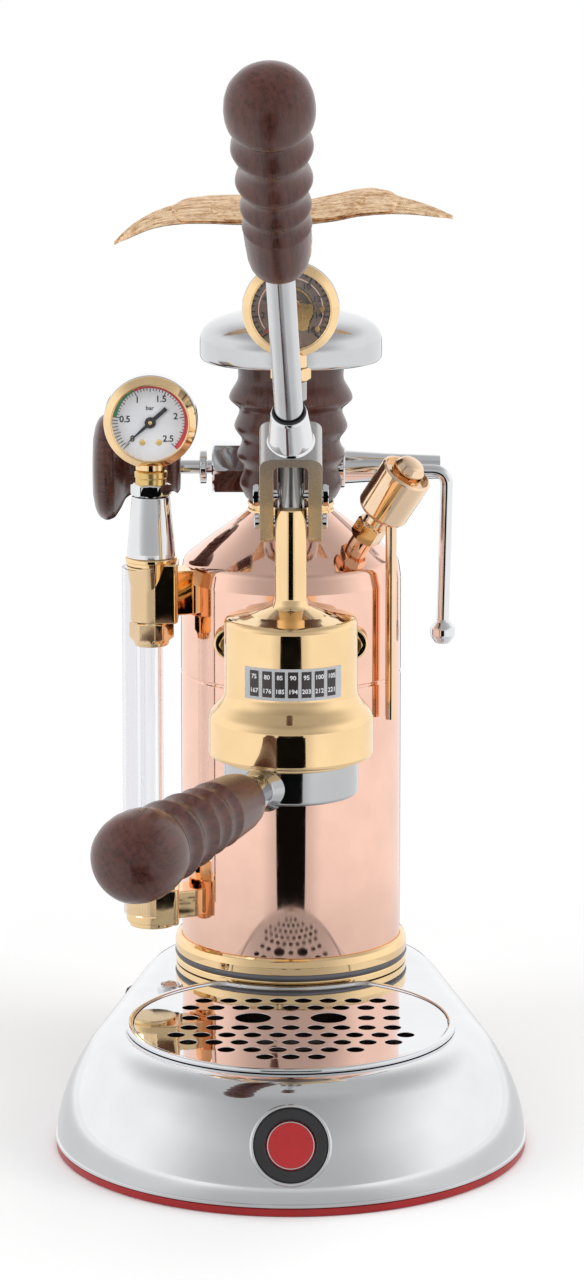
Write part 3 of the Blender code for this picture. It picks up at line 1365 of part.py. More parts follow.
def steam_tap(finish, clearance):
    along_x = (0, math.radians(90), 0)
    line = (0, steam_y, steam_z)
    body = cylinder("steam_valve_body", valve_hex_radius, valve_left_x, valve_hex_end_x,
                    finish["chrome"], 6,
                    location=line, rotation=along_x)
    middle = turned("valve_middle", (
        (0, valve_right_x), (valve_cap_radius, valve_right_x), (valve_cap_radius, valve_cap_x),
        (valve_mid_radius, valve_cap_x - overrun), (valve_mid_radius, valve_hex_end_x - overrun),
        (0, valve_hex_end_x - overrun),
    ), None, 16, location=line, rotation=along_x)
    collar_end = gland_nut_x + gland_nut_thickness
    gland = turned("valve_gland", (
        (0, valve_left_x + overrun), (gland_collar_radius, valve_left_x + overrun),
        (gland_collar_radius, collar_end),
        (gland_nut_radius, collar_end), (gland_nut_radius, gland_nut_x), (0, gland_nut_x),
    ), None, 16, location=line, rotation=along_x)
    arm = turned("steam_arm", (
        (0, arm_end_x), (arm_end_radius - arm_round, arm_end_x), (arm_end_radius, arm_end_x - arm_round),
        (arm_root_radius, valve_right_x - overrun), (0, valve_right_x - overrun),
    ), None, 16, location=line, rotation=along_x)
    stem = cylinder("valve_stem", valve_stem_radius, boiler_shoulder_z, steam_z, steps=16,
                    location=(0, steam_y, 0))
    cut(stem, clearance)
    nut = cylinder("valve_nut", valve_nut_radius, valve_nut_z - valve_nut_height / 2,
                   valve_nut_z + valve_nut_height / 2,
                   steps=6, location=(0, steam_y, 0))
    hub_rear_y = wand_y + wand_hub_length / 2
    to_front = (math.radians(90), 0, 0)
    boss = cylinder("wand_boss", wand_boss_radius, 0, steam_y - hub_rear_y - gap, steps=16,
                    location=(wand_x, steam_y, steam_z), rotation=to_front)
    join(body, middle, gland, arm, stem, nut, boss)
    cut(body, cylinder("spindle_bore", spindle_radius + gap, gland_nut_x - overrun,
                       spindle_right_x + gap, steps=16,
                       location=line, rotation=along_x))
    spin = frame("steam_knob_axis", line, along_x)
    cylinder("steam_spindle", spindle_radius, spindle_left_x, spindle_right_x, finish["steel"], 16,
             parent=spin)
    outline = [(radius * knob_radius, knob_right_x - along * knob_length) for along,
               radius in knob_shares]
    seat_x = spindle_left_x - gap
    turned("steam_knob", (
        (0, seat_x), (spindle_radius + gap, seat_x), (spindle_radius + gap, knob_right_x), *outline,
        (0, knob_right_x - knob_length),
    ), finish["wood"], 22, parent=spin)
    swing = frame("wand_axis", (wand_x, wand_y, steam_z))
    hub = cylinder("steam_wand", wand_hub_radius, -wand_hub_length / 2, wand_hub_length / 2,
                   finish["chrome"], 20,
                   rotation=to_front, parent=swing)
    bend = wand_drop_x - wand_x
    corner = arc((bend - wand_bend_radius, -wand_bend_radius), wand_bend_radius, 90, 0, 6)
    end = Vector((wand_tip_x - wand_x, 0, wand_tip_z - steam_z))
    path = [(0, 0, 0), *[(x, 0, z) for x, z in corner], tuple(end)]
    join(hub, tube("wand_tube", path, wand_radius, parent=swing))
    join(hub, ball("wand_tip", (wand_tip_radius, wand_tip_radius, wand_tip_radius), location=end,
                   parent=swing))


def safety_valve(finish, clearance):
    azimuth = math.radians(relief_azimuth)
    tilt = math.radians(relief_tilt)
    out = Vector((math.cos(azimuth), math.sin(azimuth), 0))
    seat_z = boiler_mouth_z - cone_slope_share * (relief_reach - boiler_mouth_radius)
    foot = boiler_axis + out * relief_reach + Vector((0, 0, seat_z))
    up = out * math.sin(tilt) + Vector((0, 0, math.cos(tilt)))
    turn = (0, tilt, azimuth)
    place = {"location": foot, "rotation": turn}
    cup_top = relief_cup_z + relief_cup_length
    neck_radius_here = relief_stem_radius + gap
    body = turned("safety_valve_body", (
        (0, cup_top - relief_cup_wall - gap * 3),
        (relief_stem_radius * 0.7, cup_top - relief_cup_wall - gap * 3),
        (relief_stem_radius, relief_cup_z + relief_cup_wall * 3), (relief_stem_radius, -overrun * 2),
        (0, -overrun * 2),
    ), finish["gold"], 20, **place)
    join(body, cylinder("relief_hex", relief_hex_radius, relief_hex_z, relief_hex_z + relief_hex_height,
                        steps=6, **place))
    cut(body, clearance)
    cup_inner = relief_cup_radius - relief_cup_wall
    turned("safety_valve_cap", (
        (0, cup_top + relief_dome_height), (relief_dome_radius * 0.6,
                                            cup_top + relief_dome_height * 0.85),
        (relief_dome_radius * 0.92, cup_top + relief_dome_height * 0.5), (relief_dome_radius, cup_top),
        (relief_cup_radius - gap * 2, cup_top), (relief_cup_radius, cup_top - gap * 2),
        (relief_cup_radius, relief_cup_z),
        (neck_radius_here, relief_cup_z), (neck_radius_here, relief_cup_z + relief_cup_wall),
        (cup_inner, relief_cup_z + relief_cup_wall), (cup_inner, cup_top - relief_cup_wall),
        (0, cup_top - relief_cup_wall),
    ), finish["copper"], 22, **place)
    downhill = out * math.cos(tilt) - Vector((0, 0, math.sin(tilt)))
    start = foot + up * (relief_cup_z - gap) + downhill * drain_offset
    bend = start - up * drain_start
    fall = [start, start - up * drain_start * 0.6, bend + Vector((0, 0, -drain_start * 0.35))]
    fall.append(Vector((bend.x, bend.y, bend.z - drain_start * 1.5)))
    fall.append(Vector((bend.x, bend.y, drain_foot_z)))
    drain = tube("drain_tube", fall, drain_radius, finish["gold"])
    cut(drain, cylinder("drain_bore", drain_bore_radius, drain_foot_z - overrun,
                        drain_foot_z + drain_bore_depth,
                        steps=12, location=(bend.x, bend.y, 0)))


def pressurestat(finish):
    low = bottom_plate_thickness + gap
    block = box("pressurestat", (pressurestat_width, pressurestat_length, pressurestat_height),
                finish["black"],
                location=(pressurestat_x, pressurestat_y, low + pressurestat_height / 2))
    bevel = block.modifiers.new("edges", "BEVEL")
    bevel.width = pressurestat_round
    bevel.segments = 2


def build():
    clear_scene()
    finish = materials()
    shell = base(finish)
    badge(finish, shell)
    pilot_lamp(finish, shell)
    power_switch(finish, shell)
    cord_gland(finish, shell)
    drip_tray(finish)
    clearance = boiler(finish)
    pivot = boiler_cap(finish)
    eagle(finish, pivot)
    group_head(finish, clearance)
    piston(finish)
    lever(finish)
    portafilter(finish)
    gauge("piston_gauge", (0, group_axis_y, piston_gauge_z), rod_hex_z + rod_hex_height + gap, finish)
    sight_glass(finish, clearance)
    steam_tap(finish, clearance)
    safety_valve(finish, clearance)
    pressurestat(finish)


build()
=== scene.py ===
"""Lever espresso machine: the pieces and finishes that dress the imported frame.

Lengths in the tables are millimetres. +Z is up and -Y is the front, as in the frame.
"""

import math

import bmesh
import bpy
from bpy.props import FloatProperty, FloatVectorProperty, PointerProperty
from mathutils import Matrix, Vector


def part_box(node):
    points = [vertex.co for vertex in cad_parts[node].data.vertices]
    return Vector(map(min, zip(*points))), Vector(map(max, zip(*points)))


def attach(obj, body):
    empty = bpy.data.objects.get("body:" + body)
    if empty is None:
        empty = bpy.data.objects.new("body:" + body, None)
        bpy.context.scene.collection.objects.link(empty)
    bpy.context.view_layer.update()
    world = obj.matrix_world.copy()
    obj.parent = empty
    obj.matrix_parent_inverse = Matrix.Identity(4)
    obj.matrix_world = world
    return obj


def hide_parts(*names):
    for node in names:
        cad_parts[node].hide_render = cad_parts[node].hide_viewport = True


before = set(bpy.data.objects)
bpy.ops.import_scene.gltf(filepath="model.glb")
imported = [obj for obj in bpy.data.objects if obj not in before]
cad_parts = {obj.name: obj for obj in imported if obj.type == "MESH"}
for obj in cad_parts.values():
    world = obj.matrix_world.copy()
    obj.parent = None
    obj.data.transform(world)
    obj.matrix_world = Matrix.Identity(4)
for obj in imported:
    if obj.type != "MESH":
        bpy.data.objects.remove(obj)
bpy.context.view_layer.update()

bl_info = {
    "name": "Lever espresso machine",
    "version": (1, 0, 0),
    "blender": (4, 5, 0),
    "location": "View3D > Sidebar > Espresso",
    "description": "Dresses the frame of a lever espresso machine with its pieces and finishes",
    "category": "Add Mesh",
}

mm = 0.001
round_steps = 96

# Axes of the turned groups, in millimetres
tray_centre = (0.0, -40.0)
boiler_centre = (0.0, 68.0)
group_centre = (0.0, -23.0)
column_centre = (-62.0, 43.0)
top_plane = 51.0
front_radius = 101.0
rear_radius = 81.5
fulcrum = (-11.9, 266.8)
tap_height = 271.8

# The base's flank leans in as a power of the height, above its foot
foot_height = 3.5
flank_height = 47.5
flank_inset = 20.0
flank_power = 1.9

# Degrees round the rear circle where the switch's columns start and end
switch_span = (150.4, 165.6)

# The wooden grips, from the ferrule to the knob: (distance, radius)
grip_ribs = (
    (159.0, 7.5), (159.6, 9.5), (161.0, 10.8), (163.0, 11.8), (167.0, 12.7), (175.0, 13.4), (182.6, 14.0),
    (183.6, 14.3), (184.6, 14.1), (187.5, 13.2), (190.5, 13.0), (192.6, 13.5), (194.0, 14.3), (195.3, 14.7),
    (196.8, 14.4), (199.5, 13.6), (203.0, 13.2), (206.0, 13.9), (208.0, 15.2), (209.5, 15.9), (211.2, 15.5),
    (214.0, 14.5), (218.0, 14.0), (221.6, 14.7), (224.2, 16.2), (226.0, 17.0), (228.0, 16.7), (231.0, 15.6),
    (235.0, 15.0), (238.0, 15.9), (240.0, 17.4), (242.0, 18.1), (246.0, 18.7), (251.0, 18.9), (256.0, 18.5),
    (260.5, 17.3), (264.5, 14.8), (267.6, 11.4), (269.6, 7.6), (270.6, 3.8), (271.0, 0.0),
)
# Where the lever's and the holder's ribs lie: (place in grip_ribs, own place)
lever_places = ((159.0, 159.0), (175.0, 175.5), (182.6, 184.4), (190.5, 192.8), (195.3, 197.0), (203.0, 204.8),
                (209.5, 212.0), (218.0, 221.2), (226.0, 230.5), (235.0, 241.0), (243.0, 246.6), (251.0, 252.2),
                (271.0, 271.0))
holder_places = ((159.0, 154.0), (175.0, 172.4), (182.6, 182.6), (271.0, 271.0))
# The boiler cap's wooden grip: (height, radius)
cap_ribs = (
    (262.6, 19.2), (266.0, 21.2), (270.4, 23.0), (277.3, 21.0), (283.3, 24.2), (289.8, 21.9),
    (296.2, 25.3), (303.6, 23.0), (309.1, 27.6), (318.8, 23.5), (325.6, 24.0),
)
# Small holes in the grille: (Y of the row, places across in pitches)
grille_pitch = 10.9
grille_rows = (
    (-6.9, (-3.5, -2.5, -1.5, -0.5, 0.5, 1.5, 2.5, 3.5)),
    (-17.8, (-4, -3, -2, -1, 0, 1, 2, 3, 4)),
    (-33.4, (-4, -3, 0, 3, 4)),
    (-47.9, (-4, -3, -2, -1, 0, 1, 2, 3, 4)),
    (-58.8, (-4.5, -3.5, -2.5, -1.5, -0.5, 0.5, 1.5, 2.5, 3.5, 4.5)),
    (-69.5, (-4, -3, -2, -1, 0, 1, 2, 3, 4)),
    (-80.3, (-2.5, -1.5, -0.5, 0.5, 1.5, 2.5)),
    (-90.6, (-1, 0, 1)),
)


def half_width(node):
    low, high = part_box(node)
    return (high.x - low.x) / 2


class EspressoSizes(bpy.types.PropertyGroup):
    """Sizes that a user would change."""

    boiler_radius: FloatProperty(
        name="Boiler radius", description="Radius of the copper vessel",
        default=half_width("boiler"), min=0.03, max=0.0525, unit="LENGTH",
    )
    dome_radius: FloatProperty(
        name="Cap radius", description="Radius of the chrome dome on the boiler cap",
        default=half_width("cap_dome"), min=0.03, max=0.05, unit="LENGTH",
    )
    gauge_radius: FloatProperty(
        name="Gauge radius", description="Radius of each gauge's bezel",
        default=half_width("boiler_gauge_case"), min=0.015, max=0.025, unit="LENGTH",
    )
    grille_hole: FloatProperty(
        name="Grille hole", description="Radius of the small holes in the drip grille",
        default=0.00375, min=0.002, max=0.0045, unit="LENGTH",
    )
    grip_swell: FloatProperty(
        name="Grip swell", description="How full the wooden grips are, as a share of their turned shape",
        default=1.0, min=0.85, max=1.0, subtype="FACTOR",
    )
    glass_wall: FloatProperty(
        name="Glass wall", description="Wall of the sight glass",
        default=0.0014, min=0.0006, max=0.003, unit="LENGTH",
    )
    camera_lens: FloatProperty(
        name="Lens", description="Focal length of the camera", default=123.5, min=50, max=200, unit="CAMERA",
    )
    camera_pitch: FloatProperty(
        name="Pitch", description="How far the camera looks down",
        default=math.radians(8.25), min=0, max=1.2, subtype="ANGLE",
    )


def colour_property(name, description, default):
    return FloatVectorProperty(
        name=name, description=description, default=default, size=3, min=0, max=1, subtype="COLOR",
    )


class EspressoColours(bpy.types.PropertyGroup):
    """Colours of the finishes."""

    chrome: colour_property("Chrome", "Polished plating of the base and taps", (0.80, 0.81, 0.83))
    nickel: colour_property("Nickel", "Satin steel of the lever's fork and rods", (0.60, 0.585, 0.57))
    copper: colour_property("Copper", "Polished copper of the boiler", (0.94, 0.61, 0.49))
    rose: colour_property("Rose gold", "Plating of the safety valve", (0.92, 0.68, 0.47))
    gold: colour_property("Gold", "Plating of the group and fittings", (0.96, 0.69, 0.38))
    brass: colour_property("Brass", "Bare brass of the nuts and gauge works", (0.78, 0.55, 0.22))
    wood: colour_property("Wood", "Lit grain of the turned grips", (0.118, 0.035, 0.024))
    wood_dark: colour_property("Dark wood", "Dark grain of the turned grips", (0.024, 0.0075, 0.006))
    red: colour_property("Red", "Foot trim, emblem and rocker", (0.37, 0.006, 0.008))
    black: colour_property("Black", "Plastic and rubber", (0.018, 0.018, 0.020))
    dial: colour_property("Dial", "Face of the boiler gauge", (0.83, 0.83, 0.86))
    floor: colour_property("Floor", "Plain floor", (0.93, 0.93, 0.93))


# Shapes


def arc(centre, radius, start, end, steps):
    """Points from start to end, in degrees, both ends included."""
    turns = [math.radians(start + (end - start) * i / steps) for i in range(steps + 1)]
    return [(centre[0] + radius * math.cos(t), centre[1] + radius * math.sin(t)) for t in turns]


def rounded(points, radius, steps=4, closed=False):
    """Rounds the corners of a run of points; a third value is that corner's own radius."""
    result = []
    count = len(points)
    for i, point in enumerate(points):
        here = Vector(point[:2])
        size = point[2] if len(point) > 2 else radius
        if size <= 0 or (not closed and i in (0, count - 1)):
            result.append(here)
            continue
        before = Vector(points[i - 1][:2]) - here
        after = Vector(points[(i + 1) % count][:2]) - here
        opening = before.angle(after)
        if math.pi - opening < 0.04:
            result.append(here)
            continue
        reach = min(size / math.tan(opening / 2), before.length * 0.48, after.length * 0.48)
        start = here + before.normalized() * reach
        end = here + after.normalized() * reach
        for k in range(steps + 1):
            t = k / steps
            result.append(start * (1 - t) ** 2 + here * (2 * t * (1 - t)) + end * t * t)
    return [(spot.x, spot.y) for spot in result]


def eased(points, steps=6):
    """A smooth run through points of (place, value), level at each hollow and crest."""
    result = [points[0]]
    count = len(points)
    slopes = []
    for i in range(count):
        if i in (0, count - 1):
            j, k = (i, i + 1) if i == 0 else (i - 1, i)
            slopes.append((points[k][1] - points[j][1]) / (points[k][0] - points[j][0]))
            continue
        rise = (points[i][1] - points[i - 1][1]) / (points[i][0] - points[i - 1][0])
        fall = (points[i + 1][1] - points[i][1]) / (points[i + 1][0] - points[i][0])
        slopes.append(0.0 if rise * fall <= 0 else 2 * rise * fall / (rise + fall))
    for i in range(count - 1):
        (a, low), (b, high) = points[i], points[i + 1]
        span = b - a
        for k in range(1, steps + 1):
            t = k / steps
            value = low * (2 * t**3 - 3 * t**2 + 1) + high * (3 * t**2 - 2 * t**3)
            value += span * (slopes[i] * (t**3 - 2 * t**2 + t) + slopes[i + 1] * (t**3 - t**2))
            result.append((a + span * t, value))
    return result


def moved(place, pairs):
    """A place along a grip, moved between the pairs of old and new places."""
    for a, b in zip(pairs, pairs[1:]):
        if place <= b[0]:
            return a[1] + (place - a[0]) * (b[1] - a[1]) / (b[0] - a[0])
    return pairs[-1][1]


def skin(rings, loop=False, capped=False, seam=True):
    """A mesh through rings of points in millimetres. A ring of one point closes to a tip."""
    shape = bmesh.new()
    rows = [[shape.verts.new(Vector(point) * mm) for point in ring] for ring in rings]
    pairs = list(zip(rows, rows[1:]))
    if loop:
        pairs.append((rows[-1], rows[0]))
    for low, high in pairs:
        count = max(len(low), len(high))
        for i in range(count if seam else count - 1):
            j = (i + 1) % count
            if len(low) == 1:
                shape.faces.new((low[0], high[j], high[i]))
            elif len(high) == 1:
                shape.faces.new((low[i], low[j], high[0]))
            else:
                shape.faces.new((low[i], low[j], high[j], high[i]))
    if capped:
        for row in (rows[0], rows[-1]):
            if len(row) > 2:
                shape.faces.new(row)
    return shape


def turned(profile, steps=round_steps, loop=False, capped=False):
    """A profile of (radius, height) turned about local Z."""
    rings = []
    for radius, height in profile:
        if radius < 1e-4:
            rings.append([(0, 0, height)])
            continue
        turns = [math.tau * i / steps for i in range(steps)]
        rings.append([(radius * math.cos(t), radius * math.sin(t), height) for t in turns])
    return skin(rings, loop, capped)


def hexagon(radius, low, high, chamfer=0.6, bore=0.0):
    """A nut or hexagon bar about local Z, its corners chamfered as they are on a lathe."""
    steps = 72
    flat = radius * math.cos(math.pi / 6)
    heights = (low, low + chamfer * 0.5, low + chamfer, high - chamfer, high - chamfer * 0.5, high)
    limits = (flat, (flat + radius) / 2, radius, radius, (flat + radius) / 2, flat)
    rings = []
    for z, limit in zip(heights, limits):
        ring = []
        for i in range(steps):
            turn = math.tau * i / steps
            reach = flat / math.cos((turn % (math.pi / 3)) - math.pi / 6)
            reach = min(reach, limit)
            ring.append((reach * math.cos(turn), reach * math.sin(turn), z))
        rings.append(ring)
    inner = [(bore * math.cos(math.tau * i / steps), bore * math.sin(math.tau * i / steps)) for i in range(steps)]
    if bore > 0:
        rings = [[(x, y, low) for x, y in inner]] + rings + [[(x, y, high) for x, y in inner]]
        return skin(rings, loop=True)
    return skin(rings, capped=True)


def swept(path, radius, steps=24, ends=True):
    """A round bar along a path. Radius is one number, or one for each point."""
    spots = [Vector(p) for p in path]
    radii = radius if isinstance(radius, (list, tuple)) else [radius] * len(spots)
    tangents = []
    for i in range(len(spots)):
        ahead = spots[min(i + 1, len(spots) - 1)]
        behind = spots[max(i - 1, 0)]
        tangents.append((ahead - behind).normalized())
    side = tangents[0].orthogonal().normalized()
    rings = []
    for spot, tangent, size in zip(spots, tangents, radii):
        side = (side - tangent * side.dot(tangent)).normalized()
        across = tangent.cross(side)
        ring = []
        for i in range(steps):
            turn = math.tau * i / steps
            ring.append(spot + (side * math.cos(turn) + across * math.sin(turn)) * size)
        rings.append(ring)
    if ends:
        return skin(rings, capped=True)
    return skin(rings)


def bent(points, radius, steps=8):
    """A path of straight runs with its corners bent to a radius."""
    spots = [Vector(p) for p in points]
    result = [spots[0]]
    for before, here, after in zip(spots, spots[1:], spots[2:]):
        back, on = before - here, after - here
        opening = back.angle(on)
        if math.pi - opening < 0.02:
            result.append(here)
            continue
        reach = min(radius / math.tan(opening / 2), back.length * 0.48, on.length * 0.48)
        start, end = here + back.normalized() * reach, here + on.normalized() * reach
        for k in range(steps + 1):
            t = k / steps
            result.append(start * (1 - t) ** 2 + here * (2 * t * (1 - t)) + end * t * t)
    result.append(spots[-1])
    return result


def block(outline, low, high, axis="Z"):
    """An outline of (a, b) points drawn out along an axis from low to high."""
    def place(a, b, c):
        return {"X": (c, a, b), "Y": (a, c, b), "Z": (a, b, c)}[axis]

    return skin([[place(a, b, c) for a, b in outline] for c in (low, high)], capped=True)


def together(*shapes):
    """Several meshes as one."""
    first = shapes[0]
    for other in shapes[1:]:
        mesh = bpy.data.meshes.new("part")
        other.to_mesh(mesh)
        other.free()
        first.from_mesh(mesh)
        bpy.data.meshes.remove(mesh)
    return first


def joined(*shapes):
    """Several meshes as one, with the edges that they share made one."""
    shape = together(*shapes)
    bmesh.ops.remove_doubles(shape, verts=shape.verts, dist=1e-7)
    return shape


def shifted(shape, place):
    bmesh.ops.transform(shape, matrix=place, verts=shape.verts)
    return shape


def at(x, y, z, *turns):
    """A place in millimetres, then turns as (degrees, axis)."""
    place = Matrix.Translation(Vector((x, y, z)) * mm)
    for angle, axis in turns:
        place = place @ Matrix.Rotation(math.radians(angle), 4, axis)
    return place


def grown(outline, amount):
    """A closed outline that runs anticlockwise, moved outward by amount."""
    result = []
    for i, point in enumerate(outline):
        along = (Vector(outline[(i + 1) % len(outline)]) - Vector(outline[i - 1])).normalized()
        result.append((point[0] + along.y * amount, point[1] - along.x * amount))
    return result


def lifted(outline, z):
    return [(x, y, z) for x, y in outline]


def sheet(outlines, z, side=1):
    """A flat sheet; the first outline is its edge and the others are holes."""
    shape = bmesh.new()
    edges = []
    for outline in outlines:
        ring = [shape.verts.new(Vector(point) * mm) for point in lifted(outline, z)]
        edges += [shape.edges.new((ring[i - 1], ring[i])) for i in range(len(ring))]
    bmesh.ops.triangle_fill(shape, use_beauty=True, use_dissolve=False, edges=edges, normal=(0, 0, side))
    return shape


def plate(outlines, low, high, lip=0.3):
    """A sheet with thickness, whose rims turn down by lip."""
    shapes = []
    for number, outline in enumerate(outlines):
        inward = -1 if number == 0 else 1
        rim = ((lip, high), (lip * 0.3, high - lip * 0.3), (0.0, high - lip), (0.0, low + lip),
               (lip * 0.3, low + lip * 0.3), (lip, low))
        shapes.append(skin([lifted(grown(outline, inward * back), z) for back, z in rim]))
    trimmed = [grown(outline, -lip if number == 0 else lip) for number, outline in enumerate(outlines)]
    return joined(sheet(trimmed, high), sheet(trimmed, low, -1), *shapes)


def softened(outline, low, high, lip, step):
    """An outline drawn up from low to high, its rims turned in by lip."""
    rims = ((lip, low), (step, low + step), (0.0, low + lip), (0.0, high - lip), (step, high - step), (lip, high))
    return skin([lifted(grown(outline, -inset), z) for inset, z in rims], capped=True)


def carved(shape, *cutters):
    """A mesh with the cutters taken out of it."""
    scene = bpy.context.scene.collection
    meshes = []
    for number, part in enumerate((shape, *cutters)):
        bmesh.ops.recalc_face_normals(part, faces=part.faces)
        mesh = bpy.data.meshes.new("carving")
        part.to_mesh(mesh)
        part.free()
        thing = bpy.data.objects.new(f"carving{number}", mesh)
        scene.objects.link(thing)
        meshes.append(thing)
    for tool in meshes[1:]:
        modifier = meshes[0].modifiers.new("carve", "BOOLEAN")
        modifier.operation = "DIFFERENCE"
        modifier.object = tool
        modifier.solver = "EXACT"
    bpy.context.view_layer.update()
    result = bmesh.new()
    graph = bpy.context.evaluated_depsgraph_get()
    made = bpy.data.meshes.new_from_object(meshes[0].evaluated_get(graph))
    result.from_mesh(made)
    bpy.data.meshes.remove(made)
    for thing in meshes:
        mesh = thing.data
        bpy.data.objects.remove(thing, do_unlink=True)
        bpy.data.meshes.remove(mesh)
    return result


def lettering(words, size, places, depth=0.12, weight=0.0):
    """Words set flat in the local XY plane, each at its own place, as one mesh."""
    shape = bmesh.new()
    for word, place in zip(words, places):
        curve = bpy.data.curves.new("lettering", "FONT")
        curve.body = word
        curve.size = size * mm
        curve.extrude = depth * mm / 2
        curve.offset = weight * mm
        curve.align_x = "CENTER"
        curve.align_y = "CENTER"
        curve.resolution_u = 3
        thing = bpy.data.objects.new("lettering", curve)
        bpy.context.scene.collection.objects.link(thing)
        bpy.context.view_layer.update()
        graph = bpy.context.evaluated_depsgraph_get()
        mesh = bpy.data.meshes.new_from_object(thing.evaluated_get(graph))
        mesh.transform(place)
        shape.from_mesh(mesh)
        bpy.data.objects.remove(thing, do_unlink=True)
        bpy.data.curves.remove(curve)
        bpy.data.meshes.remove(mesh)
    return shape


def scene_object(name, shape):
    """A mesh as an object in the scene."""
    mesh = bpy.data.meshes.new(name)
    shape.to_mesh(mesh)
    shape.free()
    made = bpy.data.objects.new(name, mesh)
    bpy.context.scene.collection.objects.link(made)
    return made


def piece(name, shape, finish, body, place=None, stands_for=(), crisp=38, bevel=0.0):
    """Makes an object of a mesh, gives it its finish and lets it ride on its body."""
    loose = [edge for edge in shape.edges if not edge.link_faces]
    bmesh.ops.delete(shape, geom=loose, context="EDGES")
    bmesh.ops.recalc_face_normals(shape, faces=shape.faces)
    made = scene_object(name, shape)
    mesh = made.data
    for face in mesh.polygons:
        face.use_smooth = True
    mesh.set_sharp_from_angle(angle=math.radians(crisp))
    if bevel:
        edges = made.modifiers.new("edges", "BEVEL")
        edges.width = bevel * mm
        edges.segments = 3
        edges.limit_method = "ANGLE"
        edges.angle_limit = math.radians(35)
    level = made.modifiers.new("normals", "WEIGHTED_NORMAL")
    level.keep_sharp = True
    level.weight = 80
    mesh.materials.append(finishes[finish])
    if place is not None:
        made.matrix_world = place
    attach(made, body)
    if stands_for:
        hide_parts(*stands_for)
    return made


# Finishes


def node(tree, kind, values=None, **settings):
    """A node with its settings; a value is a number, a colour or the socket that feeds it."""
    made = tree.nodes.new(kind)
    for key, value in settings.items():
        setattr(made, key, value)
    for key, value in (values or {}).items():
        if isinstance(value, bpy.types.NodeSocket):
            tree.links.new(value, made.inputs[key])
        else:
            made.inputs[key].default_value = value
    return made


def ramp(tree, value, low, high, start=0.0, end=1.0, kind="LINEAR"):
    """The value, led from the range low to high into the range start to end."""
    return node(tree, "ShaderNodeMapRange", {
        "Value": value, "From Min": low, "From Max": high, "To Min": start, "To Max": end,
    }, interpolation_type=kind).outputs[0]


def reckon(tree, operation, *values):
    """What a Math node makes of its values."""
    return node(tree, "ShaderNodeMath", dict(enumerate(values)), operation=operation).outputs[0]


def stretched(tree, vector, amounts, operation="MULTIPLY"):
    """Coordinates stretched or moved axis by axis."""
    return node(tree, "ShaderNodeVectorMath", {0: vector, 1: amounts}, operation=operation).outputs[0]


def noise(tree, vector, scale, detail, **more):
    values = {"Vector": vector, "Scale": scale, "Detail": detail, **more}
    return node(tree, "ShaderNodeTexNoise", values).outputs["Fac"]


def tinted(tree, share, dark, light, kind="MIX"):
    """Two colours mixed by a share."""
    return node(tree, "ShaderNodeMix", {0: share, 6: dark, 7: light}, data_type="RGBA", blend_type=kind).outputs[2]


def dented(tree, height, strength, distance):
    """The normal of a surface with a height drawn on it."""
    return node(tree, "ShaderNodeBump", {"Height": height, "Strength": strength, "Distance": distance}).outputs[0]


def give(tree, target, results):
    """Links each result to the input of its name."""
    for word, result in results.items():
        tree.links.new(result, target.inputs[word])


def set_plain(shader, values):
    """Sets the shader's own sockets, for what is the same all over the surface."""
    for word, value in values.items():
        shader.inputs[word].default_value = value


def shown_through(tree, share, first, second):
    """Makes the surface a mix of two shaders."""
    either = node(tree, "ShaderNodeMixShader", {0: share, 1: first.outputs[0], 2: second.outputs[0]})
    tree.links.new(either.outputs[0], tree.nodes["Material Output"].inputs["Surface"])


def node_group(name, inputs, outputs):
    """An empty node group with its sockets, and its input and output nodes."""
    tree = bpy.data.node_groups.new(name, "ShaderNodeTree")
    kinds = {"value": "NodeSocketFloat", "colour": "NodeSocketColor", "vector": "NodeSocketVector"}
    for word, kind, default in (("Vector", "vector", None), *inputs):
        socket = tree.interface.new_socket(word, in_out="INPUT", socket_type=kinds[kind])
        if default is not None:
            socket.default_value = default
    for word, kind in outputs:
        tree.interface.new_socket(word, in_out="OUTPUT", socket_type=kinds[kind])
    return tree, tree.nodes.new("NodeGroupInput").outputs, tree.nodes.new("NodeGroupOutput")


gloss_sockets = (("Roughness", "value"), ("Normal", "vector"))


def build_polish_marks():
    """Soft smears in the gloss, and the fine marks that polishing leaves."""
    tree, given, out = node_group(
        "polish_marks", (("Bright", "value", 0.04), ("Dull", "value", 0.09), ("Depth", "value", 0.1)), gloss_sockets,
    )
    smear = noise(tree, given["Vector"], 22.0, 3.0, Distortion=0.6)
    fine = noise(tree, given["Vector"], 260.0, 2.0)
    gloss = ramp(tree, reckon(tree, "MULTIPLY", smear, fine), 0.15, 0.4, given["Bright"], given["Dull"])
    dent = noise(tree, given["Vector"], 75.0, 1.0)
    give(tree, out, {"Roughness": gloss, "Normal": dented(tree, dent, given["Depth"], 0.00002)})


def build_brushed_lines():
    """Fine lines drawn along one direction by a brush or a belt."""
    tree, given, out = node_group(
        "brushed_lines",
        (("Stretch", "vector", (300.0, 300.0, 12.0)), ("Bright", "value", 0.2), ("Dull", "value", 0.36),
         ("Depth", "value", 0.3)),
        (*gloss_sockets, ("Mask", "value")),
    )
    line = noise(tree, stretched(tree, given["Vector"], given["Stretch"]), 8.0, 3.0)
    gloss = ramp(tree, line, 0.3, 0.7, given["Bright"], given["Dull"])
    give(tree, out, {"Roughness": gloss, "Normal": dented(tree, line, given["Depth"], 0.00003), "Mask": line})


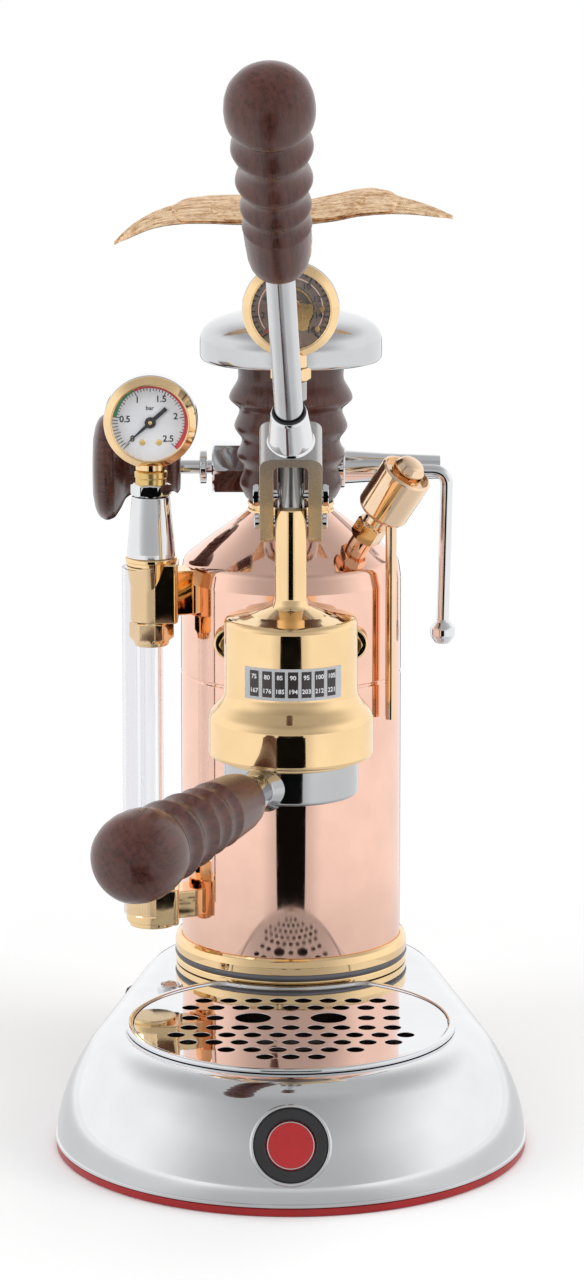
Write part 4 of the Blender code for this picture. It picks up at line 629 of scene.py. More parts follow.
def build_wood_grain():
    """Turned hardwood: growth rings about an axis beside the piece, streaks along it and open pores."""
    tree, given, out = node_group(
        "wood_grain", (("Dark", "colour", None), ("Light", "colour", None)), (("Color", "colour"), *gloss_sockets),
    )
    place = given["Vector"]
    streak = noise(tree, stretched(tree, place, (1.0, 1.0, 0.07)), 420.0, 5.0, Roughness=0.6)
    beside = stretched(tree, place, (0.031, 0.022, 0.0), "ADD")
    ring = node(tree, "ShaderNodeTexWave", {
        "Vector": stretched(tree, beside, (1.0, 1.0, 0.16)), "Scale": 110.0, "Distortion": 4.0, "Detail": 3.0,
        "Detail Scale": 1.4,
    }, wave_type="RINGS", rings_direction="Z", wave_profile="SAW").outputs["Fac"]
    pore = noise(tree, stretched(tree, place, (1.0, 1.0, 0.05)), 1900.0, 1.0)
    pits = ramp(tree, pore, 0.34, 0.44)
    blotch = noise(tree, place, 38.0, 2.0)
    grain = reckon(tree, "MULTIPLY", streak, 0.80)
    for pattern, share in ((ring, 0.12), (blotch, 0.42)):
        grain = reckon(tree, "MULTIPLY_ADD", pattern, share, grain)
    shade = tinted(tree, ramp(tree, grain, 0.38, 0.90), given["Dark"], given["Light"])
    give(tree, out, {
        "Color": tinted(tree, 1.0, shade, ramp(tree, pits, 0.0, 1.0, 0.70, 1.0), "MULTIPLY"),
        "Roughness": ramp(tree, grain, 0.3, 0.9, 0.22, 0.34),
        "Normal": dented(tree, pits, 0.22, 0.00004),
    })


def build_mottle():
    """A colour that drifts a little over the surface, with a fine moulded skin."""
    tree, given, out = node_group(
        "mottle",
        (("Color", "colour", None), ("Drift", "value", 0.12), ("Grain", "value", 900.0), ("Depth", "value", 0.2)),
        (("Color", "colour"), *gloss_sockets),
    )
    low, high = (reckon(tree, operation, 1.0, given["Drift"]) for operation in ("SUBTRACT", "ADD"))
    level = ramp(tree, noise(tree, given["Vector"], 45.0, 3.0), 0.3, 0.7, low, high)
    tint = node(tree, "ShaderNodeVectorMath", {0: given["Color"], "Scale": level}, operation="SCALE")
    fine = noise(tree, given["Vector"], given["Grain"], 2.0)
    give(tree, out, {
        "Color": tint.outputs[0], "Roughness": ramp(tree, fine, 0.0, 1.0, 0.28, 0.5),
        "Normal": dented(tree, fine, given["Depth"], 0.00003),
    })


finishes = {}


def new_finish(name, **plain):
    """A new material: its node tree, its shader and the piece's own coordinates."""
    made = bpy.data.materials.new(name)
    finishes[name] = made
    made.use_nodes = True
    tree = made.node_tree
    shader = tree.nodes["Principled BSDF"]
    set_plain(shader, {word.replace("_", " "): value for word, value in plain.items()})
    return tree, shader, tree.nodes.new("ShaderNodeTexCoord").outputs["Object"]


def placed(tree, group, shader, words, **values):
    """A node group set into a material with its own values, feeding the shader's inputs of those words."""
    made = node(tree, "ShaderNodeGroup", values, node_tree=bpy.data.node_groups[group])
    for word in words:
        tree.links.new(made.outputs[word], shader.inputs["Base Color" if word == "Color" else word])
    return made


gloss_words = ("Roughness", "Normal")


def plated(name, colour, bright, dull, depth, drift=0.05):
    """A polished plated metal whose colour, gloss and flatness vary a little."""
    tree, shader, place = new_finish(name, Metallic=1.0)
    placed(tree, "mottle", shader, ("Color",), Vector=place, Color=(*colour, 1.0), Drift=drift, Depth=0.0)
    placed(tree, "polish_marks", shader, gloss_words, Vector=place, Bright=bright, Dull=dull, Depth=depth)


def brushed(name, colour, stretch, bright, dull, depth):
    """A satin metal with fine drawn lines."""
    tree, shader, place = new_finish(name, Metallic=1.0)
    lines = placed(tree, "brushed_lines", shader, gloss_words, Vector=place, Stretch=stretch, Bright=bright,
                   Dull=dull, Depth=depth)
    low = (*(c * 0.86 for c in colour), 1.0)
    give(tree, shader, {"Base Color": tinted(tree, lines.outputs["Mask"], low, (*colour, 1.0))})


def moulded(name, colour, drift=0.12, grain=900.0, depth=0.2, coat=0.0, specular=0.5):
    """Plastic, rubber, enamel or printed ink."""
    tree, shader, place = new_finish(name, Coat_Weight=coat, Coat_Roughness=0.04, Specular_IOR_Level=specular)
    placed(tree, "mottle", shader, ("Color", *gloss_words), Vector=place, Color=(*colour, 1.0), Drift=drift,
           Grain=grain, Depth=depth)


def clear(name, colour, roughness, ior=1.47):
    """Clear glass or plastic. Shadow rays pass, so what lies behind it stays lit."""
    tree, shader, place = new_finish(name, Base_Color=(*colour, 1.0), Transmission_Weight=1.0, IOR=ior)
    placed(tree, "polish_marks", shader, gloss_words, Vector=place, Bright=roughness * 0.5, Dull=roughness, Depth=0.05)
    ray = tree.nodes.new("ShaderNodeLightPath")
    through = node(tree, "ShaderNodeBsdfTransparent", {"Color": (*colour, 1.0)})
    shown_through(tree, ray.outputs["Is Shadow Ray"], shader, through)


def turned_wood(light, dark):
    tree, shader, place = new_finish("wood", Coat_Weight=0.2, Coat_Roughness=0.14, Specular_IOR_Level=0.5)
    placed(tree, "wood_grain", shader, ("Color", *gloss_words), Vector=place, Dark=(*dark, 1.0), Light=(*light, 1.0))


def cast_gold():
    """Gilt casting: chased feather lines and pits, with painted shade darkening the hollows."""
    tree, shader, place = new_finish("gilt_casting", Metallic=0.7)
    barbs = noise(tree, stretched(tree, place, (0.16, 1.0, 1.0)), 520.0, 4.0, Roughness=0.62)
    pits = node(tree, "ShaderNodeTexVoronoi", {"Vector": place, "Scale": 420.0}).outputs["Distance"]
    height = reckon(tree, "MULTIPLY_ADD", pits, 0.18, barbs)
    # the hollows' darker gold is painted shade
    hollow, crest = (0.52, 0.27, 0.11, 1.0), (1.0, 0.74, 0.48, 1.0)
    give(tree, shader, {
        "Base Color": tinted(tree, ramp(tree, height, 0.42, 0.72), hollow, crest),
        "Roughness": ramp(tree, pits, 0.0, 1.0, 0.24, 0.4),
        "Normal": dented(tree, height, 0.8, 0.0006),
    })


def pierced(name, colour, pitch, share):
    """Thin sheet with a grid of small holes pressed through it, painted near black as painted shade."""
    tree, shader, place = new_finish(name)
    scaled = node(tree, "ShaderNodeVectorMath", {0: place, "Scale": 1.0 / (pitch * mm)}, operation="SCALE")
    cells = node(tree, "ShaderNodeTexVoronoi", {"Vector": scaled.outputs[0], "Scale": 1.0, "Randomness": 0.0},
                 voronoi_dimensions="2D")
    solid = ramp(tree, cells.outputs["Distance"], share - 0.05, share + 0.05)
    # the holes are near black and not metal: painted shade for the space behind them
    give(tree, shader, {"Base Color": tinted(tree, solid, (0.01, 0.01, 0.01, 1.0), (*colour, 1.0)), "Metallic": solid})
    placed(tree, "polish_marks", shader, gloss_words, Vector=place, Bright=0.16, Dull=0.26, Depth=0.1)


def build_finishes(colours):
    for build in (build_polish_marks, build_brushed_lines, build_wood_grain, build_mottle):
        build()

    # a colour scaled: its own tone, and painted shade where it dims chrome
    def tone_and_painted_shade(colour, share):
        return tuple(c * share for c in colour)

    # Name, colour, brightest and dullest gloss, depth of the marks, drift of the colour
    for row in (
        ("chrome", colours.chrome, 0.035, 0.075, 0.04, 0.03),
        ("chrome_bright", colours.chrome, 0.02, 0.05, 0.05, 0.02),
        # chrome dimmed to two thirds: painted shade
        ("chrome_painted_shade", tone_and_painted_shade(colours.chrome, 0.66), 0.05, 0.10, 0.10, 0.03),
        # a satin gloss, and chrome dimmed to 0.80 as painted shade
        ("satin_chrome_painted_shade", tone_and_painted_shade(colours.chrome, 0.80), 0.10, 0.17, 0.05, 0.04),
        ("copper", colours.copper, 0.04, 0.085, 0.06),
        ("rose_gold", colours.rose, 0.05, 0.10, 0.12),
        ("gold", colours.gold, 0.045, 0.095, 0.05),
        ("brass", colours.brass, 0.14, 0.26, 0.3, 0.12),
        ("aged_brass", (0.46, 0.29, 0.11), 0.20, 0.38, 0.4, 0.45),
    ):
        plated(*row)
    # Name, colour, stretch of the lines, brightest and dullest gloss, depth
    brushed("nickel", colours.nickel, (60.0, 900.0, 900.0), 0.20, 0.28, 0.03)
    brushed("nickel_rod", tone_and_painted_shade(colours.nickel, 0.86), (700.0, 700.0, 14.0), 0.14, 0.22, 0.05)
    # dark steel inside the drip bowl: painted shade, seen through the grille's holes
    brushed("painted_shade_steel", (0.20, 0.165, 0.15), (120.0, 120.0, 120.0), 0.30, 0.45, 0.1)
    pierced("pierced_steel", colours.nickel, 1.6, 0.30)
    turned_wood(colours.wood, colours.wood_dark)
    cast_gold()
    # Name, colour, drift of the colour, fineness and depth of the skin, coat, specular level
    for row in (
        ("red_trim", colours.red, 0.10, 700.0, 0.12, 0.1),
        ("red_enamel", tone_and_painted_shade(colours.red, 1.15), 0.08, 300.0, 0.05, 0.7),
        ("black_plastic", colours.black, 0.2, 1200.0, 0.35),
        ("black_ring", colours.black, 0.2, 500.0, 0.1, 0.3),
        ("rubber", tone_and_painted_shade(colours.black, 1.4), 0.2, 1600.0, 0.5, 0.0, 0.25),
        ("grey_rubber", (0.13, 0.13, 0.145), 0.15, 1600.0, 0.4, 0.0, 0.3),
        ("dial_white", colours.dial, 0.03, 800.0, 0.05, 0.1),
        ("dial_bronze", (0.17, 0.115, 0.085), 0.25, 500.0, 0.3),
        ("black_ink", (0.010, 0.010, 0.012), 0.1, 900.0, 0.1),
        ("red_ink", (0.66, 0.008, 0.016), 0.06, 900.0, 0.05),
        ("green_ink", (0.008, 0.22, 0.07), 0.06, 900.0, 0.05),
        ("strip_silver", (0.50, 0.51, 0.53), 0.05, 900.0, 0.1, 0.2),
        ("strip_dark", (0.030, 0.022, 0.022), 0.3, 500.0, 0.1, 0.3),
        ("amber_lamp", (0.42, 0.20, 0.13), 0.15, 900.0, 0.1, 0.5),
    ):
        moulded(*row)
    clear("glass", (0.985, 0.99, 0.995), 0.012)
    clear("clear_guard", (0.90, 0.905, 0.93), 0.03, 1.30)


def dress(nodes, finish):
    """Gives a frame's own node its finish."""
    for name in nodes:
        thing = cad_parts[name]
        for slot in thing.material_slots:
            slot.material = finishes[finish]


# Outlines of the base and the tray


def base_outline(inset):
    """The hull of the front and rear circles, drawn in by inset, with columns at the switch."""
    lean = math.degrees(math.asin((front_radius - rear_radius) / (boiler_centre[1] - tray_centre[1])))
    front = arc(tray_centre, front_radius - inset, 180 - lean, 360 + lean, 90)
    rear = arc(boiler_centre, rear_radius - inset, lean, switch_span[0], 60)
    rear += arc(boiler_centre, rear_radius - inset, *switch_span, 6)[1:]
    rear += arc(boiler_centre, rear_radius - inset, switch_span[1], 180 - lean, 2)[1:]
    return front + rear


def tray_outline(inset):
    """A circle with a round bite out of its rear, both rounded into each other."""
    radius, bite, corner = 71.0 - inset, 54.5 + inset, 11.0 - inset
    spread = boiler_centre[1] - tray_centre[1]
    rise = ((radius - corner) ** 2 - (bite + corner) ** 2 + spread**2) / (2 * spread)
    side = math.sqrt((radius - corner) ** 2 - rise**2)
    tangent = math.degrees(math.atan2(rise, side))
    inward = math.degrees(math.atan2(spread - rise, -side))
    corner_y = tray_centre[1] + rise
    outline = arc(tray_centre, radius, 180 - tangent, 360 + tangent, 110)
    outline += arc((side, corner_y), corner, tangent, inward, 12)[1:]
    outline += arc(boiler_centre, bite, inward - 180, -inward, 30)[1:]
    outline += arc((-side, corner_y), corner, 180 - inward, 180 - tangent, 12)[1:-1]
    return outline


def round_outline(centre, radius, steps):
    turns = [math.tau * i / steps for i in range(steps)]
    return [(centre[0] + radius * math.cos(t), centre[1] + radius * math.sin(t)) for t in turns]


def flank(share):
    """(inset, height) of the base's flank, from 0 at its foot to 1 at the top's edge."""
    return flank_inset * share**flank_power, foot_height + share * flank_height


# Pieces


class EspressoStage(bpy.types.Operator):
    """Floor, soft lights, surroundings and camera"""

    bl_idname = "espresso.stage"
    bl_label = "Stage"

    def execute(self, context):
        self.floor(context.scene.espresso_colours.floor)
        self.surroundings(context.scene)
        self.lights()
        self.cards()
        self.camera(context.scene, context.scene.espresso_sizes)
        return {"FINISHED"}

    def board(self, name, finish, outline, low, high):
        """A flat stage piece."""
        made = scene_object(name, skin([lifted(outline, low), lifted(outline, high)], capped=True))
        made.data.materials.append(finishes[finish])
        return made

    def floor(self, colour):
        """Plain near the machine, with its shadow; white further out. Metal mirrors it as a glow with painted shade,
        dimmer near the machine and in front.
        """
        tree, shader, place = new_finish("floor", Base_Color=(*colour, 1.0), Roughness=0.9, Specular_IOR_Level=0.0)
        away = node(tree, "ShaderNodeVectorMath", {0: place}, operation="LENGTH").outputs["Value"]
        ray = tree.nodes.new("ShaderNodeLightPath").outputs
        glossy = ray["Is Glossy Ray"]
        seen = reckon(tree, "MAXIMUM", ray["Is Camera Ray"], ray["Is Transmission Ray"])
        shown = reckon(tree, "MULTIPLY", seen, ramp(tree, away, 0.20, 0.40, kind="SMOOTHSTEP"))
        shown = reckon(tree, "MAXIMUM", shown, glossy)
        ahead = node(tree, "ShaderNodeVectorMath", {0: place}, operation="NORMALIZE").outputs[0]
        ahead = node(tree, "ShaderNodeSeparateXYZ", {0: ahead}).outputs["Y"]
        # painted shade in what metal mirrors: for glossy rays the floor's glow dims near the machine and toward the
        # front
        near = ramp(tree, away, 0.15, 0.50, 0.72, 1.0, "SMOOTHSTEP")
        middle = ramp(tree, ahead, -1.0, -0.80, 0.68, 1.0, "SMOOTHSTEP")
        level = node(tree, "ShaderNodeMix", {0: glossy, 2: 1.0, 3: reckon(tree, "MULTIPLY", middle, near)}).outputs[0]
        white = node(tree, "ShaderNodeEmission", {"Color": (1, 1, 1, 1), "Strength": level})
        shown_through(tree, shown, shader, white)
        self.board("floor", "floor", round_outline((0, 0), 9000, 96), 0, -1).location.z = -0.0002

    def surroundings(self, scene):
        """A pale room for metal to mirror, dimmer behind the camera and overhead."""
        world = bpy.data.worlds.new("studio")
        scene.world = world
        world.use_nodes = True
        tree = world.node_tree
        way = tree.nodes.new("ShaderNodeTexCoord").outputs["Generated"]
        way = node(tree, "ShaderNodeSeparateXYZ", {0: way}).outputs
        walls = ramp(tree, way["Y"], -0.98, -0.10, 0.50, 1.06, "SMOOTHSTEP")
        overhead = ramp(tree, way["Z"], 0.38, 0.90, 1.0, 0.48, "SMOOTHSTEP")
        mirrored = reckon(tree, "MULTIPLY", walls, overhead)
        ray = tree.nodes.new("ShaderNodeLightPath").outputs
        level = node(tree, "ShaderNodeMix", {0: ray["Is Glossy Ray"], 2: 0.50, 3: mirrored}).outputs[0]
        seen = reckon(tree, "MAXIMUM", ray["Is Camera Ray"], ray["Is Transmission Ray"])
        final = node(tree, "ShaderNodeMix", {0: seen, 2: level, 3: 1.0}).outputs[0]
        give(tree, tree.nodes["Background"], {"Strength": final})
        set_plain(tree.nodes["Background"], {"Color": (1, 1, 1, 1)})

    def lights(self):
        middle = Vector((0, 0.03, 0.22))
        for name, spot, size, power in (
            ("left_softbox", (-1.05, -0.55, 0.80), (0.7, 1.1), 6.0),
            ("right_softbox", (1.05, -0.40, 0.80), (0.7, 1.1), 7.0),
            ("top_softbox", (0.0, 0.15, 1.45), (1.1, 1.1), 8.0),
        ):
            light = bpy.data.lights.new(name, "AREA")
            light.shape = "RECTANGLE"
            light.size, light.size_y = size
            light.energy = power
            made = bpy.data.objects.new(name, light)
            bpy.context.scene.collection.objects.link(made)
            made.location = spot
            made.rotation_euler = (middle - Vector(spot)).to_track_quat("-Z", "Y").to_euler()
            made.visible_camera = False
            made.visible_glossy = False

    def cards(self):
        """Dark cards in front and behind, seen only as the stripes that metal mirrors."""
        tree, shader, _ = new_finish("card", Base_Color=(0.004, 0.004, 0.004, 1.0), Specular_IOR_Level=0.0)
        graze = ramp(tree, node(tree, "ShaderNodeLayerWeight").outputs["Facing"], 0.87, 0.90)
        shown_through(tree, graze, shader, tree.nodes.new("ShaderNodeBsdfTransparent"))
        # Along Y and half the width, in metres
        for name, edge in (
            ("front_card", ((-0.27, 0.074), (-0.31, 0.092), (-0.50, 0.150), (-0.75, 0.270), (-1.10, 0.340),
                            (-3.0, 0.80))),
            ("rear_card", ((0.30, 0.070), (0.60, 0.150), (1.10, 0.280), (3.0, 0.70))),
        ):
            outline = [(-x / mm, y / mm) for y, x in edge] + [(x / mm, y / mm) for y, x in reversed(edge)]
            card = self.board(name, "card", outline, 0.5, 0.6)
            for ray in ("camera", "diffuse", "shadow", "transmission"):
                setattr(card, "visible_" + ray, False)

    def camera(self, scene, sizes):
        data = bpy.data.cameras.new("camera")
        data.lens = sizes.camera_lens
        data.sensor_width = 36.0
        data.shift_y = -0.1988
        data.clip_start, data.clip_end = 0.05, 50.0
        made = bpy.data.objects.new("camera", data)
        scene.collection.objects.link(made)
        made.location = (0.0005, -1.875, 0.596)
        made.rotation_euler = (math.radians(90) - sizes.camera_pitch, 0, 0)
        scene.camera = made
        scene.view_settings.view_transform = "Standard"


class EspressoBase(bpy.types.Operator):
    """Polished base housing with its red foot trim"""

    bl_idname = "espresso.base"
    bl_label = "Base housing"

    def execute(self, context):
        shares = [0.034, 0.06, 0.12, 0.18, 0.24, 0.2875, 0.34, 0.40, 0.46, 0.5025, 0.5525, 0.60, 0.66, 0.72, 0.78, 0.83]
        side = [flank(share) for share in shares]
        start, corner, end = Vector(side[-1]), Vector((19.5, top_plane)), Vector((28.8, top_plane))
        crown = []
        for i in range(1, 15):
            t = i / 14
            crown.append(tuple(start * (1 - t) ** 2 + corner * (2 * t * (1 - t)) + end * t * t))
        bead = rounded([(1.0, 3.5), (-0.6, 3.5, 0.5), (-0.6, 5.0, 0.6), side[0]], 0.5, 4)
        profile = bead[:-1] + side + crown
        rings = [lifted(base_outline(inset), z) for inset, z in profile]
        shape = skin(rings)
        shape.faces.ensure_lookup_table()
        count = len(rings[0])
        first_row = len(bead) - 1
        lower, upper = first_row + shares.index(0.2875), first_row + shares.index(0.5525)
        first = 91 + 60
        opening = [shape.faces[row * count + column] for row in range(lower, upper)
                   for column in range(first, first + 6)]
        bmesh.ops.delete(shape, geom=opening, context="FACES")
        inset = profile[-1][0]
        top = sheet([base_outline(inset), tray_outline(1.2), round_outline(boiler_centre, 50.0, 96)], top_plane)
        piece("base_housing", joined(shape, top), "chrome", "machine", stands_for=("base_shell",), crisp=30)
        foot = rounded([(3.1, 0.0), (-0.3, 0.0, 0.5), (-0.3, 3.2, 0.5), (3.1, 3.2)], 0.5, 4)
        piece("foot_trim", skin([lifted(base_outline(i), z) for i, z in foot], loop=True), "red_trim", "machine",
              stands_for=("base_trim",))
        return {"FINISHED"}


class EspressoBaseFittings(bpy.types.Operator):
    """Emblem, pilot lamp, rocker switch and cord gland"""

    bl_idname = "espresso.base_fittings"
    bl_label = "Fittings on the base"

    def execute(self, context):
        inset, height = flank(0.52)
        rate = flank_inset * flank_power * 0.52 ** (flank_power - 1)
        tilt = math.degrees(math.atan2(rate, flank_height))
        face = at(0, tray_centre[1] - front_radius + inset, height, (90 - tilt, "X"))
        bezel = rounded([(17.0, -2.4), (17.0, 1.2, 0.8), (16.4, 2.5, 0.5), (15.6, 2.5, 0.4), (15.2, 1.2, 0.3),
                         (15.2, -1.0)], 0.3, 5)
        piece("emblem_bezel", turned(bezel), "chrome_bright", "machine", face, stands_for=("badge",))
        ring = rounded([(15.3, -0.5), (15.3, 1.5, 0.3), (14.4, 2.1, 0.8), (11.0, 1.7, 0.5), (10.3, 0.9, 0.2),
                        (10.3, -0.5)], 0.3, 5)
        piece("emblem_ring", turned(ring, loop=True), "black_ring", "machine", face)
        disc = rounded([(0.0, 1.45), (7.0, 1.35), (9.9, 1.1, 0.5), (10.2, 0.3)], 0.4, 5)
        piece("emblem_disc", turned(disc), "red_enamel", "machine", face)
        border = rounded([(9.35, 1.0), (9.35, 1.36, 0.1), (9.75, 1.33, 0.1), (9.75, 1.0)], 0.1, 3)
        piece("emblem_border", turned(border, loop=True), "chrome_bright", "machine", face)
        lamp = at(-53.5, 16.5, top_plane)
        seat = rounded([(0.0, 0.9), (4.0, 0.9, 0.2), (4.2, 2.3, 0.3), (5.0, 2.4, 0.4), (5.8, 1.4, 0.5), (5.8, 0.0)],
                       0.3, 5)
        piece("lamp_bezel", turned(seat), "chrome_bright", "machine", lamp, stands_for=("pilot_lamp",))
        lens = rounded([(0.0, 3.6), (1.6, 3.5), (3.2, 2.7), (3.9, 1.4, 0.4), (3.9, 1.0)], 0.8, 6)
        piece("lamp_dome", turned(lens, capped=True), "glass", "machine", lamp, stands_for=("pilot_lens",))
        glow = [(0.0, 1.35), (1.9, 1.3), (2.3, 1.05), (2.3, 0.95)]
        piece("lamp_core", turned(glow), "amber_lamp", "machine", lamp)
        self.switch()
        self.gland()
        return {"FINISHED"}

    def switch(self):
        """The rocker keeps the frame's own shape, so it tips in its well."""
        dress(("switch_frame",), "black_plastic")
        dress(("switch_rocker",), "red_trim")

    def gland(self):
        place = at(0, 149.8, 17.0, (-90, "X"))
        profile = [(4.1, 3.0), (6.4, 3.0, 0.6), (7.5, 1.6, 0.6), (7.5, 0.0, 0.3), (5.0, 0.0), (5.0, -13.0),
                   (3.4, -13.0), (3.4, 2.0, 0.5)]
        piece("cord_bush", turned(rounded(profile, 0.3, 4, closed=True), 64, loop=True), "rubber", "machine", place,
              stands_for=("cord_gland",))


class EspressoTray(bpy.types.Operator):
    """Drip bowl with its rolled rim, and the pierced grille"""

    bl_idname = "espresso.tray"
    bl_label = "Drip tray"

    def execute(self, context):
        hole = context.scene.espresso_sizes.grille_hole / mm
        profile = rounded([
            (8.6, 25.5), (5.2, 28.9, 3.0), (5.2, 50.2), (2.2, 50.2), (2.2, 51.3), (0.0, 51.3, 0.2), (0.0, 53.3, 1.1),
            (3.0, 53.3, 1.3), (3.0, 51.0), (6.0, 51.0, 0.4), (6.0, 29.6, 3.0), (9.2, 26.3),
        ], 0.3, 6)
        rings = [lifted(tray_outline(inset), z) for inset, z in profile]
        bowl = skin(rings, capped=True)
        piece("tray_bowl", bowl, "chrome", "bowl", stands_for=("drip_bowl",))
        # the bowl's inside is dark as painted shade, seen through the grille's holes
        well = rounded([(6.15, 50.6), (6.15, 29.8, 3.0), (9.3, 26.45)], 0.3, 6)
        piece("tray_well", skin([lifted(tray_outline(inset), z) for inset, z in well]
                                + [[(0, tray_centre[1], 26.45)]]), "painted_shade_steel", "bowl")
        outlines = [tray_outline(3.4)]
        for y, columns in grille_rows:
            outlines += [round_outline((column * grille_pitch, y), hole, 32) for column in columns]
        outlines += [round_outline((side * 16.35, -33.4), 7.75, 48) for side in (-1, 1)]
        hem = ((3.5, 52.3), (3.5, 51.35), (4.1, 51.35), (4.1, 52.1))
        skirt = skin([lifted(tray_outline(inset), z) for inset, z in hem])
        piece("tray_grille", together(plate(outlines, 52.0, 52.5, 0.14), skirt), "chrome_bright", "grille",
              stands_for=("drip_grille",))
        return {"FINISHED"}


class EspressoBoiler(bpy.types.Operator):
    """Copper vessel, its foot rings and filler neck"""

    bl_idname = "espresso.boiler"
    bl_label = "Boiler"

    def execute(self, context):
        radius = context.scene.espresso_sizes.boiler_radius / mm
        place = at(*boiler_centre, 0)
        outer = rounded([
            (17.0, 259.7, 0), (40.0, 242.9, 0), (radius - 1.2, 236.2, 6.0), (radius, 228.0, 3.0), (radius, 186.2, 0.3),
            (radius - 0.35, 185.7, 0.3), (radius - 0.35, 184.9, 0.3), (radius, 184.4, 0.3), (radius, 58.7),
        ], 0.5, 8)
        piece("boiler_vessel", turned(outer, 160), "copper", "machine", place, stands_for=("boiler",), crisp=30)
        seat = rounded([(46.0, 51.3), (52.3, 51.3, 0.4), (52.3, 54.5, 0.9), (46.0, 54.5)], 0.5, 5)
        piece("seat_ring", turned(seat, 160), "gold", "machine", place, stands_for=("boiler_seat_ring",))
        cord = rounded([(49.0, 54.4), (52.1, 54.4, 0.6), (52.7, 55.7, 0.7), (52.1, 57.0, 0.6), (49.0, 57.0)], 0.4, 5)
        piece("foot_seal", turned(cord, 160), "grey_rubber", "machine", place, stands_for=("boiler_gasket",))
        collar = rounded([(46.0, 56.9), (52.3, 56.9, 0.5), (52.5, 60.6, 1.6), (51.7, 63.2, 1.2), (50.4, 64.2, 0.5),
                          (49.6, 64.0)], 0.5, 6)
        piece("foot_ring", turned(collar, 160), "gold", "machine", place, stands_for=("boiler_foot_ring",))
        neck = rounded([(16.0, 258.6), (19.3, 257.4, 0.4), (19.3, 259.2, 0.3), (18.7, 259.6, 0.2), (18.7, 260.2, 0.2),
                        (19.3, 260.6, 0.3), (19.3, 262.3, 0.4), (13.5, 262.3, 0.3), (13.5, 252.2)], 0.3, 4)
        piece("filler_collar", turned(neck), "gold", "machine", place, stands_for=("filler_neck",))
        dress(("boiler_ring_nut", "element_flange"), "brass")
        dress(("heating_element", "bottom_plate"), "nickel_rod")
        dress(("pressurestat",), "black_plastic")
        return {"FINISHED"}


class EspressoCap(bpy.types.Operator):
    """Turned wooden cap with its chrome dome"""

    bl_idname = "espresso.cap"
    bl_label = "Boiler cap"

    def execute(self, context):
        sizes = context.scene.espresso_sizes
        place = at(*boiler_centre, 0)
        side = [(radius, z) for z, radius in eased(cap_ribs, 7)]
        swell = sizes.grip_swell
        profile = [(16.8, 264.0)] + [(r * swell, max(z, 264.05)) for r, z in side] + [(0.0, 325.6)]
        piece("cap_handle", turned(profile, 96), "wood", "boiler_cap", place, stands_for=("cap_grip",))
        big = sizes.dome_radius / mm * 0.968
        crown = []
        for i in range(19):
            turn = math.radians(90 * i / 18)
            crown.append((big * math.sin(turn) ** 0.75, 334.0 + 14.2 * max(math.cos(turn), 0.0) ** 0.75))
        brim = rounded([crown[-1], (big, 325.9, 5.0), (big - 7.0, 325.9, 0.8), (big - 7.0, 333.8), (24.6, 333.8),
                        (24.6, 326.1), (0.0, 326.1)], 0.8, 7)
        # the dome's chrome is dimmed as painted shade
        piece("cap_cover", turned(crown[:-1] + brim), "satin_chrome_painted_shade", "boiler_cap", place, stands_for=("cap_dome",))
        dress(("cap_insert",), "brass")
        dress(("cap_gasket",), "rubber")
        return {"FINISHED"}


